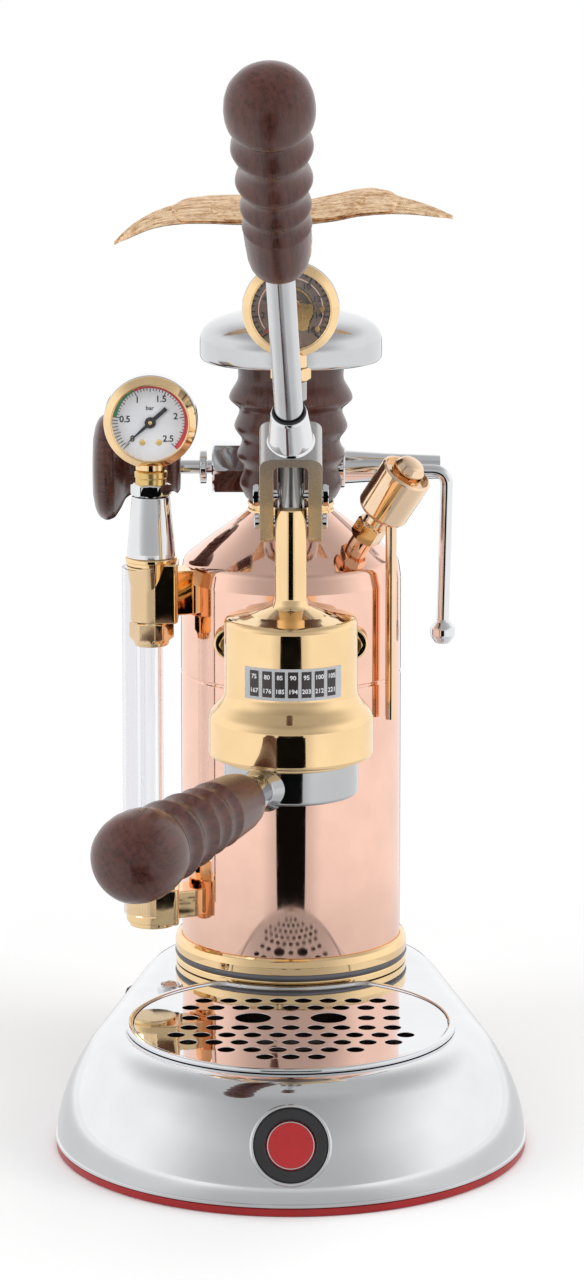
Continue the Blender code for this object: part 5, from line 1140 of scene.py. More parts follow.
class EspressoEagle(bpy.types.Operator):
    """Gilt cast eagle with spread wings on the dome"""

    bl_idname = "espresso.eagle"
    bl_label = "Eagle"

    # (x, front Y, front Z, rear Y, rear Z, thickness) from the body to the tip
    left_wing = (
        (-2.0, 60.0, 389.5, 84.0, 397.0, 5.0), (-12.0, 58.5, 389.3, 86.0, 397.6, 4.2),
        (-24.0, 57.0, 389.2, 86.8, 398.0, 3.4), (-36.0, 56.0, 389.8, 87.0, 397.8, 3.0),
        (-46.0, 56.0, 389.8, 86.0, 396.8, 2.8), (-54.0, 57.0, 389.0, 82.5, 394.9, 2.5),
        (-62.0, 59.0, 387.2, 79.0, 392.2, 2.2), (-69.0, 61.0, 384.2, 75.5, 388.4, 1.9),
        (-75.0, 63.5, 380.8, 72.5, 384.0, 1.6), (-78.6, 66.5, 378.6, 69.5, 380.0, 1.2),
    )
    right_wing = (
        (2.0, 60.0, 389.6, 84.0, 396.6, 5.0), (10.0, 58.5, 390.4, 86.0, 396.8, 4.2),
        (20.0, 57.0, 391.6, 86.8, 399.2, 3.4), (29.0, 56.0, 393.6, 87.0, 401.2, 3.0),
        (37.0, 56.0, 394.4, 87.0, 402.0, 2.8), (45.0, 57.0, 394.8, 85.0, 400.6, 2.6),
        (53.0, 59.0, 394.4, 81.0, 398.6, 2.2), (60.0, 61.0, 393.6, 77.0, 396.8, 1.9),
        (67.0, 63.5, 392.4, 73.0, 394.4, 1.6), (72.0, 66.0, 391.2, 69.5, 392.2, 1.2),
    )

    def execute(self, context):
        shapes = [self.body(), self.head(), self.tail()]
        for sections in (self.left_wing, self.right_wing):
            shapes.append(self.wing(sections))
        for side in (-1, 1):
            leg = [(side * 4.2, 69.0, 366.0), (side * 4.8, 68.5, 357.0), (side * 5.0, 67.5, 350.0)]
            shapes.append(swept(leg, [3.4, 2.6, 1.9], 14))
            for turn in (-34, 0, 34):
                away = (math.sin(math.radians(turn)) * 6.2, -math.cos(math.radians(turn)) * 6.2)
                toe = [(side * 5.0, 68.5, 350.4), (side * 5.0 + away[0] * 0.6, 68.0 + away[1] * 0.6, 350.0),
                       (side * 5.0 + away[0], 68.0 + away[1], 348.9)]
                shapes.append(swept(toe, [1.3, 1.1, 0.5], 10))
        figure = together(*shapes)
        piece("gilt_eagle", figure, "gilt_casting", "boiler_cap", stands_for=("eagle",), crisp=50)
        ledge = rounded([(8.6, 347.2), (8.6, 349.4, 0.5), (8.0, 350.2, 0.5), (0.0, 350.4)], 0.5, 4)
        piece("eagle_ledge", turned(ledge, 64), "gold", "boiler_cap", at(*boiler_centre, 0))
        return {"FINISHED"}

    def body(self):
        rings = []
        for z, y, wide, deep in (
            (360.0, 75.5, 1.5, 1.5), (362.5, 74.5, 4.6, 4.6), (367.0, 73.0, 7.2, 7.0), (373.0, 71.5, 8.9, 8.4),
            (380.0, 70.4, 9.4, 9.2), (387.0, 69.4, 8.8, 9.0), (392.0, 68.0, 6.8, 7.6), (395.5, 66.4, 4.6, 5.6),
            (398.0, 65.2, 3.9, 4.6),
        ):
            ring = []
            for i in range(36):
                turn = math.tau * i / 36
                ripple = 1.0 + 0.035 * math.sin(5 * turn + z * 0.9)
                ring.append((wide * ripple * math.cos(turn), y + deep * ripple * math.sin(turn), z))
            rings.append(ring)
        return skin(rings, capped=True)

    def head(self):
        path = [(0, 65.6, 396.4), (0, 64.4, 399.0), (0, 62.0, 400.4), (0, 59.2, 400.2), (0, 56.9, 399.0),
                (0, 55.6, 396.8)]
        return swept(path, [4.4, 4.5, 4.0, 2.6, 1.5, 0.4], 20)

    def tail(self):
        blades = []
        for i in range(7):
            turn = math.radians((i - 3) * 9)
            foot = Vector((0, 76.5, 366.5 - abs(i - 3) * 0.2))
            way = Vector((math.sin(turn) * 0.86, 0.48, -math.cos(turn) * 0.86))
            blades.append(self.blade(foot, way.normalized(), 20.0, 2.5, Vector((0, 0.8, 0.5)), 0.8))
        return together(*blades)

    def blade(self, foot, way, length, width, up, thick):
        """One feather: a long flat lens with a raised quill."""
        across = way.cross(up).normalized()
        up = across.cross(way).normalized()
        rings = []
        for along, share in ((0.0, 0.45), (0.2, 0.85), (0.55, 1.0), (0.82, 0.9), (0.95, 0.55), (1.0, 0.15)):
            centre = foot + way * (length * along) - up * (length * 0.05 * along * along)
            ring = []
            for side, high in ((-1, 0), (-0.5, 0.38), (-0.12, 0.5), (0, 0.85), (0.12, 0.5), (0.5, 0.38), (1, 0),
                               (0.5, -0.3), (0, -0.4), (-0.5, -0.3)):
                ring.append(centre + across * (side * width * share) + up * (high * thick * (0.4 + 0.6 * share)))
            rings.append(ring)
        return skin(rings, capped=True)

    def wing(self, sections):
        """Three overlapping rows of feathers whose quills run along the wing."""
        drop = 1.6 if sections[0][0] < 0 else 2.3
        side = -1 if sections[0][0] < 0 else 1
        reach = abs(sections[-1][0])
        rows = []
        for span, ridges, lift, trim, blunt in (
            (1.0, 8, 0.0, 0.0, 0.10), (0.665, 7, 0.95, -0.03, 0.10), (0.44, 6, 1.7, 0.22, 0.25),
        ):
            rings = []
            count = 26
            for i in range(count + 1):
                along = i / count * span
                x = side * (2.0 + along * (reach - 2.0))
                y0, z0, y1, z1, thick = self.between(sections, abs(x))
                z0, z1 = z0 - drop, z1 - drop
                taper = min(1.0, (1.0 - i / count) / blunt + 0.12) ** 0.6
                y1 -= (y1 - y0) * trim
                z1 -= (z1 - z0) * trim
                middle = 0.62
                ring = []
                for j in range(61):
                    share = j / 60
                    u = middle + (share - middle) * taper
                    crest = abs(math.sin(math.pi * ridges * share)) ** 0.7
                    swell = math.sin(math.pi * min(max(share, 0.02), 0.98)) ** 0.35
                    z = z0 + (z1 - z0) * u + thick * 0.35 * swell + lift + 0.75 * crest * swell
                    ring.append((x, y0 + (y1 - y0) * u, z))
                for j in range(59, 0, -4):
                    share = j / 60
                    u = middle + (share - middle) * taper
                    swell = math.sin(math.pi * share) ** 0.35
                    z = z0 + (z1 - z0) * u - thick * 0.35 * swell + lift * 0.6
                    ring.append((x, y0 + (y1 - y0) * u, z))
                rings.append(ring)
            rows.append(skin(rings, capped=True))
        return together(*rows)

    def between(self, sections, reach):
        """The wing's section at a distance from the middle."""
        for a, b in zip(sections, sections[1:]):
            if reach <= abs(b[0]) or b is sections[-1]:
                t = min(max((reach - abs(a[0])) / (abs(b[0]) - abs(a[0])), 0.0), 1.0)
                return tuple(p + (q - p) * t for p, q in zip(a[1:], b[1:]))


class EspressoGroup(bpy.types.Operator):
    """Gilt group head with its oval tower, flange, bolts and temperature strip"""

    bl_idname = "espresso.group"
    bl_label = "Group head"

    # Middle of each indicator cell in degrees to the right of the front
    strip_cells = (-32.6, -20.5, -9.3, 1.9, 13.4, 24.9, 36.8)

    def execute(self, context):
        place = at(*group_centre, 0)
        skirt = eased([(181.8, 35.6), (183.2, 35.53), (185.6, 34.8), (188.6, 32.5), (191.6, 30.1), (194.4, 28.95),
                       (197.0, 28.72), (199.0, 28.7)], 4)
        bell = rounded([
            (26.4, 167.0), (26.6, 165.0, 0.6), (30.0, 165.0, 0.9), (30.5, 166.9, 0.6), (34.8, 167.1, 1.5),
            (35.6, 168.8, 1.2), (35.6, 181.8),
        ], 0.8, 8) + [(radius, z) for z, radius in skirt[1:]]
        bell += rounded([(28.7, 218.0), (28.7, 226.9, 3.4), (18.0, 229.0, 8.0), (8.0, 232.5)], 0.8, 10)
        dome = turned(bell, 128)
        tower = self.tower()
        whole = together(dome, tower, self.neck())
        piece("group_casting", whole, "gold", "machine", place, stands_for=("group_bell",), crisp=32)
        self.flange()
        self.strip(place)
        dress(("group_sleeve", "piston"), "brass")
        dress(("group_gasket", "piston_seal_lower", "piston_seal_upper"), "rubber")
        dress(("shower_screen",), "pierced_steel")
        return {"FINISHED"}

    def oval(self, radius, z, front=-2.2, rear=13.0):
        outline = arc((0, front), radius, 180, 360, 40) + arc((0, rear), radius, 0, 180, 40)
        return lifted(outline, z)

    def tower(self):
        """The neck that carries the fulcrum, slotted for the fork's rod and cross bored."""
        profile = rounded([(19.5, 228.0), (6.8, 231.0, 7.0), (6.8, 275.3, 1.4), (4.4, 275.3)], 0.6, 12)
        solid = skin([self.oval(radius, z) for radius, z in profile], capped=True)
        slot = block([(-8.6, 256.4), (8.6, 256.4), (8.6, 290), (-8.6, 290)], -2.8, 2.8, "Y")
        bore = turned([(6.2, 222.0), (6.2, 290.0)], 48, capped=True)
        hole = shifted(turned([(2.8, -20.0), (2.8, 20.0)], 32, capped=True), at(0, 11.1, 266.8, (90, "Y")))
        return carved(solid, slot, bore, hole)

    def neck(self):
        path = [(0, 20.0, 209.0), (0, 26.0, 209.0), (0, 35.5, 209.0)]
        return swept(path, [13.0, 11.2, 11.6], 48)

    def flange(self):
        """Two lobed plates: one cast with the group and one on the boiler, with bolts through both."""
        outline = []
        web, lobe, reach = 15.0, 7.2, 26.5
        turn = math.degrees(math.acos((web - lobe) / reach))
        outline += arc((reach, 0), lobe, -turn, turn, 20)
        outline += arc((0, 0), web, turn, 180 - turn, 16)
        outline += arc((-reach, 0), lobe, 180 - turn, 180 + turn, 20)
        outline += arc((0, 0), web, 180 + turn, 360 - turn, 16)
        front = skin([lifted(grown(outline, grow), z) for grow, z in
                      rounded([(-12.0, 11.0), (0.0, 11.0, 1.0), (0.0, 6.2, 0.8), (-12.0, 6.2)], 0.6, 4)])
        stand = at(0, 18.2, 209.0, (90, "X"))
        piece("group_flange", front, "gold", "machine", stand, crisp=30)
        saddle = skin([lifted(grown(outline, grow), z) for grow, z in
                       rounded([(-12.0, 5.9), (0.0, 5.9, 0.6), (0.0, 0.5, 0.8), (-12.0, 0.5)], 0.6, 4)])
        saddle = together(saddle, swept([(0, 0, 1.0), (0, 0, -11.0)], 13.6, 48))
        piece("saddle_flange", saddle, "gold", "machine", stand, stands_for=("boiler_flange",), crisp=30)
        bolts = []
        for side in (-1, 1):
            head = shifted(hexagon(4.9, 0, 3.2, 0.5), at(side * reach, 0, 11.1))
            tail = shifted(turned([(4.2, 0.4), (4.2, 0.0), (0.0, 0.0)]), at(side * reach, 0, 11.1))
            bolts += [head, tail]
        piece("flange_bolts", together(*bolts), "brass", "machine", stand)

    def strip(self, place):
        """Stick-on strip of heat sensitive cells, curved round the bell."""
        def bow(radius, left, right, low, high):
            turns = [math.radians(left + (right - left) * i / 40) for i in range(41)]
            rings = []
            for reach, z in ((radius - 0.1, low), (radius, low), (radius, high), (radius - 0.1, high)):
                rings.append([(reach * math.sin(t), -reach * math.cos(t), z) for t in turns])
            return skin(rings, seam=False)

        piece("strip_backing", bow(28.86, -42.7, 47.8, 196.3, 210.1), "strip_silver", "machine", place)
        cells = []
        for middle in self.strip_cells:
            cells.append(bow(28.93, middle - 4.3, middle + 4.3, 197.7, 208.9))
        piece("strip_cells", together(*cells), "strip_dark", "machine", place)
        words, places = [], []
        for i, middle in enumerate(self.strip_cells):
            words += [str(75 + 5 * i), str(167 + 9 * i)]
            for z in (206.3, 200.3):
                turn = math.radians(middle)
                spot = (29.0 * math.sin(turn), -29.0 * math.cos(turn), z)
                places.append(at(*spot, (middle, "Z"), (90, "X")))
        marks = lettering(words, 2.7, places, 0.06, 0.05)
        piece("strip_numbers", marks, "dial_white", "machine", place)


class EspressoPiston(bpy.types.Operator):
    """Piston rod and its nut; the gauge it carries is made with the gauges"""

    bl_idname = "espresso.piston"
    bl_label = "Piston rod"

    def execute(self, context):
        place = at(*group_centre, 0)
        rod = rounded([(5.9, 222.0), (5.9, 294.0, 0.6), (4.5, 297.0, 0.6), (4.5, 320.0, 0.5), (6.8, 321.6, 0.6),
                       (6.8, 329.4, 0.6), (4.0, 330.0)], 0.5, 5)
        piece("piston_stem", turned(rod, 64), "nickel_rod", "piston_unit", place, stands_for=("piston_rod",))
        piece("piston_nut", hexagon(8.6, 330.0, 335.2, 0.7), "gold", "piston_unit", place)
        return {"FINISHED"}


class EspressoLever(bpy.types.Operator):
    """Steel fork, its pins, the lever rod and the turned grip"""

    bl_idname = "espresso.lever"
    bl_label = "Lever"

    def execute(self, context):
        stand = at(0, *fulcrum, (40, "X"))
        arm = stand @ at(0, 0, 53.0, (-2.4, "Y"))
        self.fork(stand, arm)
        rod = rounded([(0.0, 2.3), (6.05, 2.3, 0.6), (6.05, 141.4, 0.6), (0.0, 142.0)], 0.4, 4)
        # the rod's satin chrome is dimmed as painted shade
        piece("lever_bar", turned(rod, 64), "satin_chrome_painted_shade", "lever", arm, stands_for=("lever_rod",))
        ring = [(6.7 + 0.55 * math.cos(t), 18.3 + 0.55 * math.sin(t)) for t in
                [math.tau * i / 20 for i in range(20)]]
        piece("lever_seal", turned(ring, 64, loop=True), "rubber", "lever", arm)
        grip = self.grip(context.scene.espresso_sizes.grip_swell)
        piece("lever_handle", turned(grip, 96), "wood", "lever", arm @ at(0, 0, 106.0), stands_for=("lever_grip",))
        place = at(0, *fulcrum, (90, "Y"))
        self.pin("fulcrum_bolt", place, 3.4, 2.2, "machine", "fulcrum_pin")
        self.pin("piston_bolt", at(0, group_centre[1], 280.0, (90, "Y")), 4.8, 2.6, "piston_unit", "piston_pin")
        return {"FINISHED"}

    def fork(self, stand, arm):
        """A bent frame with two eyes, drawn from the front and trimmed to its side view."""
        front = rounded([
            (-13.3, -12.0, 0), (-13.3, 53.0, 6.0), (13.3, 53.0, 6.0), (13.3, -12.0, 0), (7.45, -12.0, 0),
            (7.45, 48.0, 4.0), (-7.45, 48.0, 4.0), (-7.45, -12.0, 0),
        ], 0, 8, closed=True)
        solid = block(front, -10.8, 10.8, "Y")
        side = arc((0, 0), 9.0, 180, 360, 24)
        side += [(9.0, 4.0), (9.4, 10.0), (10.3, 20.0), (10.9, 26.0), (10.9, 60.0), (30.0, 60.0), (30.0, -30.0),
                 (-30.0, -30.0), (-30.0, 60.0), (-10.9, 60.0), (-10.9, 26.0), (-10.3, 20.0), (-9.4, 10.0),
                 (-9.0, 4.0)]
        waste = block(side, -20.0, 20.0, "X")
        slot_outline = arc((0, 18.6), 4.2, 0, 180, 16) + arc((0, 11.4), 4.2, 180, 360, 16)
        slot = block(slot_outline, -20.0, 20.0, "X")
        eye = shifted(turned([(2.8, -20.0), (2.8, 20.0)], 32, capped=True), at(0, 0, 0, (90, "Y")))
        made = carved(solid, waste, slot, eye)
        piece("fork", made, "nickel", "lever", stand, stands_for=("lever_fork",), crisp=30, bevel=0.6)
        socket = rounded([(6.3, -0.6), (10.6, -0.6), (9.6, 0.8, 1.0), (9.3, 3.0, 2.0), (7.9, 16.6, 0.8),
                          (7.5, 18.0, 0.5), (6.3, 18.0, 0.3)], 0.6, 6)
        piece("fork_socket", turned(socket, 72), "chrome", "lever", arm)

    def pin(self, name, place, radius, height, body, node):
        """A pin with a slotted head at each end."""
        foot, top = 13.6, 13.6 + height
        parts = [turned([(2.5, -14.0), (2.5, 14.0)], 32, capped=True)]
        for turn in (180, 0):
            if node == "piston_pin":
                head = hexagon(radius, foot, top, 0.4)
            else:
                head = turned(rounded([(0.0, foot), (radius, foot, 0.2), (radius, top, 0.5), (0.0, top)], 0.3, 4), 48)
            slot = block([(-6, -0.45), (6, -0.45), (6, 0.45), (-6, 0.45)], top - 0.7, 20.0)
            parts.append(shifted(carved(head, slot), at(0, 0, 0, (turn, "X"))))
        piece(name, together(*parts), "chrome_bright", body, place, stands_for=(node,), crisp=30)

    def grip(self, swell):
        side = []
        for place, radius in grip_ribs:
            away = place - grip_ribs[0][0]
            side.append((radius * swell * (1.0 - 0.00045 * away), (moved(place, lever_places) - 159.0) * 0.972))
        return [(5.9, 0.2)] + side


class EspressoPortafilter(bpy.types.Operator):
    """Bottomless filter holder, its basket and grip"""

    bl_idname = "espresso.portafilter"
    bl_label = "Portafilter"

    def execute(self, context):
        place = at(*group_centre, 0, (-25.4, "Z"))
        ring = rounded([(25.0, 151.6), (25.2, 150.4, 0.4), (29.2, 150.4, 4.2), (29.2, 171.0, 1.0), (28.0, 173.6, 0.8),
                        (25.6, 173.6, 0.5)], 0.6, 9, closed=True)
        body = turned(ring, 128, loop=True)
        boss = rounded([(10.4, 27.0), (8.8, 29.5, 2.0), (7.0, 32.4, 2.6), (7.0, 37.0, 1.2), (8.2, 38.8, 0.8),
                        (8.6, 44.8, 0.6), (7.0, 45.2)], 0.6, 6)
        along = at(0, 0, 158.4, (91.55, "X"))
        stem = shifted(turned(boss, 64, capped=True), along)
        # the holder's chrome is dimmed as painted shade
        piece("holder_body", together(body, stem), "chrome_painted_shade", "filter_holder", place, stands_for=("portafilter",),
              crisp=32)
        swell = context.scene.espresso_sizes.grip_swell
        side = [(radius * swell, moved(distance, holder_places) - 108.7) for distance, radius in grip_ribs]
        handle = place @ along
        piece("holder_handle", turned([(5.9, 45.4)] + side, 96), "wood", "filter_holder", handle,
              stands_for=("portafilter_grip",))
        basket = rounded([(28.6, 174.4), (28.6, 174.8, 0.2), (25.4, 174.8, 0.5), (25.2, 155.0, 2.0), (0.0, 153.2)],
                         0.3, 5)
        piece("basket_liner", turned(basket, 96), "pierced_steel", "filter_holder", place,
              stands_for=("filter_basket",))
        return {"FINISHED"}


def hand_turn(node, centre):
    """How far the frame's pointer is turned from straight up at rest, in degrees."""
    spots = [corner.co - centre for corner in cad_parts[node].data.vertices]
    tip = max(spots, key=lambda spot: spot.x**2 + spot.z**2)
    return math.degrees(math.atan2(tip.z, tip.x)) - 90


class EspressoGauges(bpy.types.Operator):
    """The boiler's white gauge and the piston's skeleton gauge"""

    bl_idname = "espresso.gauges"
    bl_label = "Gauges"

    def execute(self, context):
        radius = context.scene.espresso_sizes.gauge_radius / mm
        boiler = at(-62, 43, 302, (90, "X"))
        piston = at(0, -23, 360.5, (90, "X"))
        self.case("boiler_gauge", radius, boiler, "machine", "boiler_gauge_case", 21.4)
        self.case("piston_gauge", radius, piston, "piston_unit", "piston_gauge_case", 24.8)
        self.white_dial(boiler)
        self.works(piston)
        return {"FINISHED"}

    def case(self, name, radius, place, body, node, drop):
        """Chrome cup with a gilt bezel and a glass."""
        cup = rounded([(0.0, -8.0), (radius + 0.3, -8.0, 1.6), (radius + 0.3, 2.3, 0.3), (radius - 0.8, 2.4),
                       (radius - 0.8, 3.6, 0.2), (radius - 2.9, 3.6)], 0.6, 6)
        shell = turned(cup, 96)
        stem = swept([(0, -radius + 1.5, 0), (0, -drop, 0)], 6.8, 48)
        piece(name + "_cup", shell, "chrome", body, place, stands_for=(node,))
        piece(name + "_stem", stem, "gold", body, place)
        bezel = rounded([
            (radius - 0.9, 2.7), (radius, 2.7, 0.4), (radius, 4.4, 1.2), (radius - 3.2, 8.0, 0.7),
            (radius - 3.8, 7.4, 0.3), (radius - 3.8, 3.2),
        ], 0.4, 8, closed=True)
        piece(name + "_bezel", turned(bezel, 96, loop=True), "gold", body, place)
        rim = radius - 3.7
        glass = rounded([(0.0, 6.9), (rim - 1.5, 6.75, 2.0), (rim, 6.3, 0.2), (rim, 5.9), (0.0, 6.2)], 0.2, 4)
        piece(name + "_glass", turned(glass, 96), "glass", body, place)

    def ticks(self, radius, lengths, width, start, end, z):
        """Marks round a dial; every length in turn goes with one mark."""
        shapes = []
        count = len(lengths)
        for i, length in enumerate(lengths):
            turn = start + (end - start) * i / (count - 1)
            mark = block([(radius - length, -width / 2), (radius, -width / 2), (radius, width / 2),
                          (radius - length, width / 2)], z, z + 0.05)
            shapes.append(shifted(mark, at(0, 0, 0, (turn, "Z"))))
        return together(*shapes)

    def band(self, outer, width, start, end, z):
        steps = max(4, int(abs(end - start) / 3))
        outline = arc((0, 0), outer, start, end, steps) + arc((0, 0), outer - width, end, start, steps)
        return block(outline, z, z + 0.05)

    def white_dial(self, place):
        """Pale face with a scale from 0 to 2.5."""
        piece("boiler_dial", turned(rounded([(17.6, 3.3), (17.6, 3.8, 0.2), (0.0, 3.8)], 0.2, 3), 96), "dial_white",
              "machine", place)
        lengths = [3.1 if i % 10 == 0 else (2.6 if i % 5 == 0 else 2.0) for i in range(51)]
        scale = self.ticks(16.3, lengths, 0.36, 225, -45, 3.82)
        piece("boiler_scale", scale, "black_ink", "machine", place)
        for colour, start, end in (("green", 0.2, 0.4), ("red", 0.4, 1.0)):
            band = self.band(16.6, 1.6, 225 - 270 * start, 225 - 270 * end, 3.84)
            piece(f"boiler_{colour}_band", band, f"{colour}_ink", "machine", place)
        numbers = (("0", -7.9, -7.3), ("0.5", -11.2, 1.4), ("1", -5.7, 10.0), ("1.5", 4.8, 10.4), ("2", 11.2, 2.7),
                   ("2.5", 7.9, -7.3))
        words = [word for word, x, y in numbers]
        places = [at(x, y, 3.86) for word, x, y in numbers]
        unit = lettering(("bar",), 2.7, (at(-0.2, 6.4, 3.86),), 0.05, 0.05)
        marks = together(lettering(words, 4.0, places, 0.05, 0.10), unit)
        piece("boiler_numbers", marks, "black_ink", "machine", place)
        screws = []
        for x, y in ((-3.6, -8.9), (3.8, -8.9)):
            screws.append(self.stud(x, y, 1.35, 3.7, 4.1, 0.2, 4.2, 24))
        piece("boiler_dial_screws", together(*screws), "brass", "machine", place)
        self.pointer("boiler_needle_hand", place, "boiler_needle", "boiler_gauge_pointer", "black_ink", 15.3)

    def pointer(self, name, place, body, node, finish, reach):
        root, tail = (0.9, 9.5) if finish == "black_ink" else (1.25, 3.4)
        hand = [(0.0, reach), (-root * 0.8, 3.0), (-root, 0.0), (-root, -tail), (root, -tail), (root, 0.0),
                (root * 0.8, 3.0)]
        turn = hand_turn(node, place.translation)
        shape = together(shifted(block(hand, 4.35, 4.75), at(0, 0, 0, (turn, "Z"))),
                         turned(rounded([(2.5, 4.3), (2.5, 4.9, 0.3), (0.0, 5.0)], 0.2, 4), 36))
        piece(name, shape, finish, body, place, stands_for=(node,), crisp=30)
        pin = rounded([(0.9, 4.9), (0.9, 5.5, 0.3), (0.0, 5.6)], 0.2, 4)
        piece(name + "_pin", turned(pin, 24), "brass", body, place)

    def works(self, place):
        """Dark skeleton face: ring scale outside, brass train inside."""
        piece("works_back", turned([(17.6, -0.6), (0.0, -0.6)], 64), "dial_bronze", "piston_unit", place)
        ring = rounded([(17.6, 3.1), (17.6, 3.8, 0.2), (9.9, 3.8, 0.2), (9.9, 3.1)], 0.2, 3)
        piece("works_ring", turned(ring, 96), "dial_bronze", "piston_unit", place)
        lengths = [2.5 if i % 4 == 0 else 1.5 for i in range(33)]
        piece("works_scale", self.ticks(16.6, lengths, 0.8, 225, -45, 3.9), "black_ink", "piston_unit", place)
        words, places = [], []
        for i in range(9):
            turn = math.radians(225 - 270 * i / 8)
            words.append(str(2 * i))
            places.append(at(12.0 * math.cos(turn), 12.0 * math.sin(turn), 4.4))
        piece("works_numbers", lettering(words, 3.7, places, 0.05, 0.09), "black_ink", "piston_unit", place)
        piece("works_arc", self.band(13.9, 0.42, 216, -36, 3.84), "copper", "piston_unit", place)
        train = [
            shifted(self.gear(6.4, 44, 0.9, 0.5), at(2.6, -2.2, 0.2)),
            shifted(self.gear(3.2, 22, 0.7, 0.6), at(-2.0, 1.6, 1.4)),
            shifted(turned(rounded([(1.3, 0.0), (1.3, 3.2, 0.3), (0.0, 3.3)], 0.2, 3), 24), at(0, 0, 0)),
        ]
        bridge = rounded([(-10.2, -1.6), (-3.0, -2.2), (0.4, -5.6), (4.2, -9.4), (7.6, -8.4), (8.0, -4.0),
                          (9.6, -1.6), (9.4, 2.4), (3.0, 3.0), (-3.0, 3.0), (-10.0, 2.0)], 1.6, 4, closed=True)
        train.append(block(bridge, 3.2, 4.0))
        for x, y in ((-7.6, -1.4), (7.6, 1.6), (-4.6, 3.1), (4.8, -2.9)):
            train.append(self.stud(x, y, 1.0, 3.9, 4.3, 0.2, 4.35, 20))
        for x, y in ((13.4, 0.2), (11.4, -8.2)):
            train.append(self.stud(x, y, 1.3, 3.7, 4.5, 0.4, 4.6, 24))
        piece("works_train", together(*train), "aged_brass", "piston_unit", place, crisp=30)
        coil = []
        for i in range(150):
            turn = math.tau * i / 30
            reach = 1.9 + 3.1 * i / 150
            coil.append((reach * math.cos(turn), reach * math.sin(turn), 2.6))
        piece("works_spring", swept(coil, 0.16, 6), "brass", "piston_unit", place)
        tube = arc((0, 0), 9.2, 150, -70, 40)
        rings = [(x, y, 1.6) for x, y in tube]
        piece("works_tube", swept(rings, 1.05, 14), "aged_brass", "piston_unit", place)
        self.pointer("piston_needle_hand", place, "piston_needle", "piston_gauge_pointer", "red_ink", 16.3)

    def stud(self, x, y, radius, low, rim, soft, top, steps):
        """A small round head at a place on a dial."""
        return shifted(turned(rounded([(radius, low), (radius, rim, soft), (0.0, top)], 0.1, 3), steps), at(x, y, 0))

    def gear(self, radius, teeth, high, depth):
        outline = []
        for i in range(teeth):
            turn = math.tau * i / teeth
            step = math.tau / teeth
            for share, reach in ((0.0, radius - depth), (0.3, radius), (0.55, radius), (0.8, radius - depth)):
                t = turn + share * step
                outline.append((reach * math.cos(t), reach * math.sin(t)))
        return block(outline, 0.0, high)


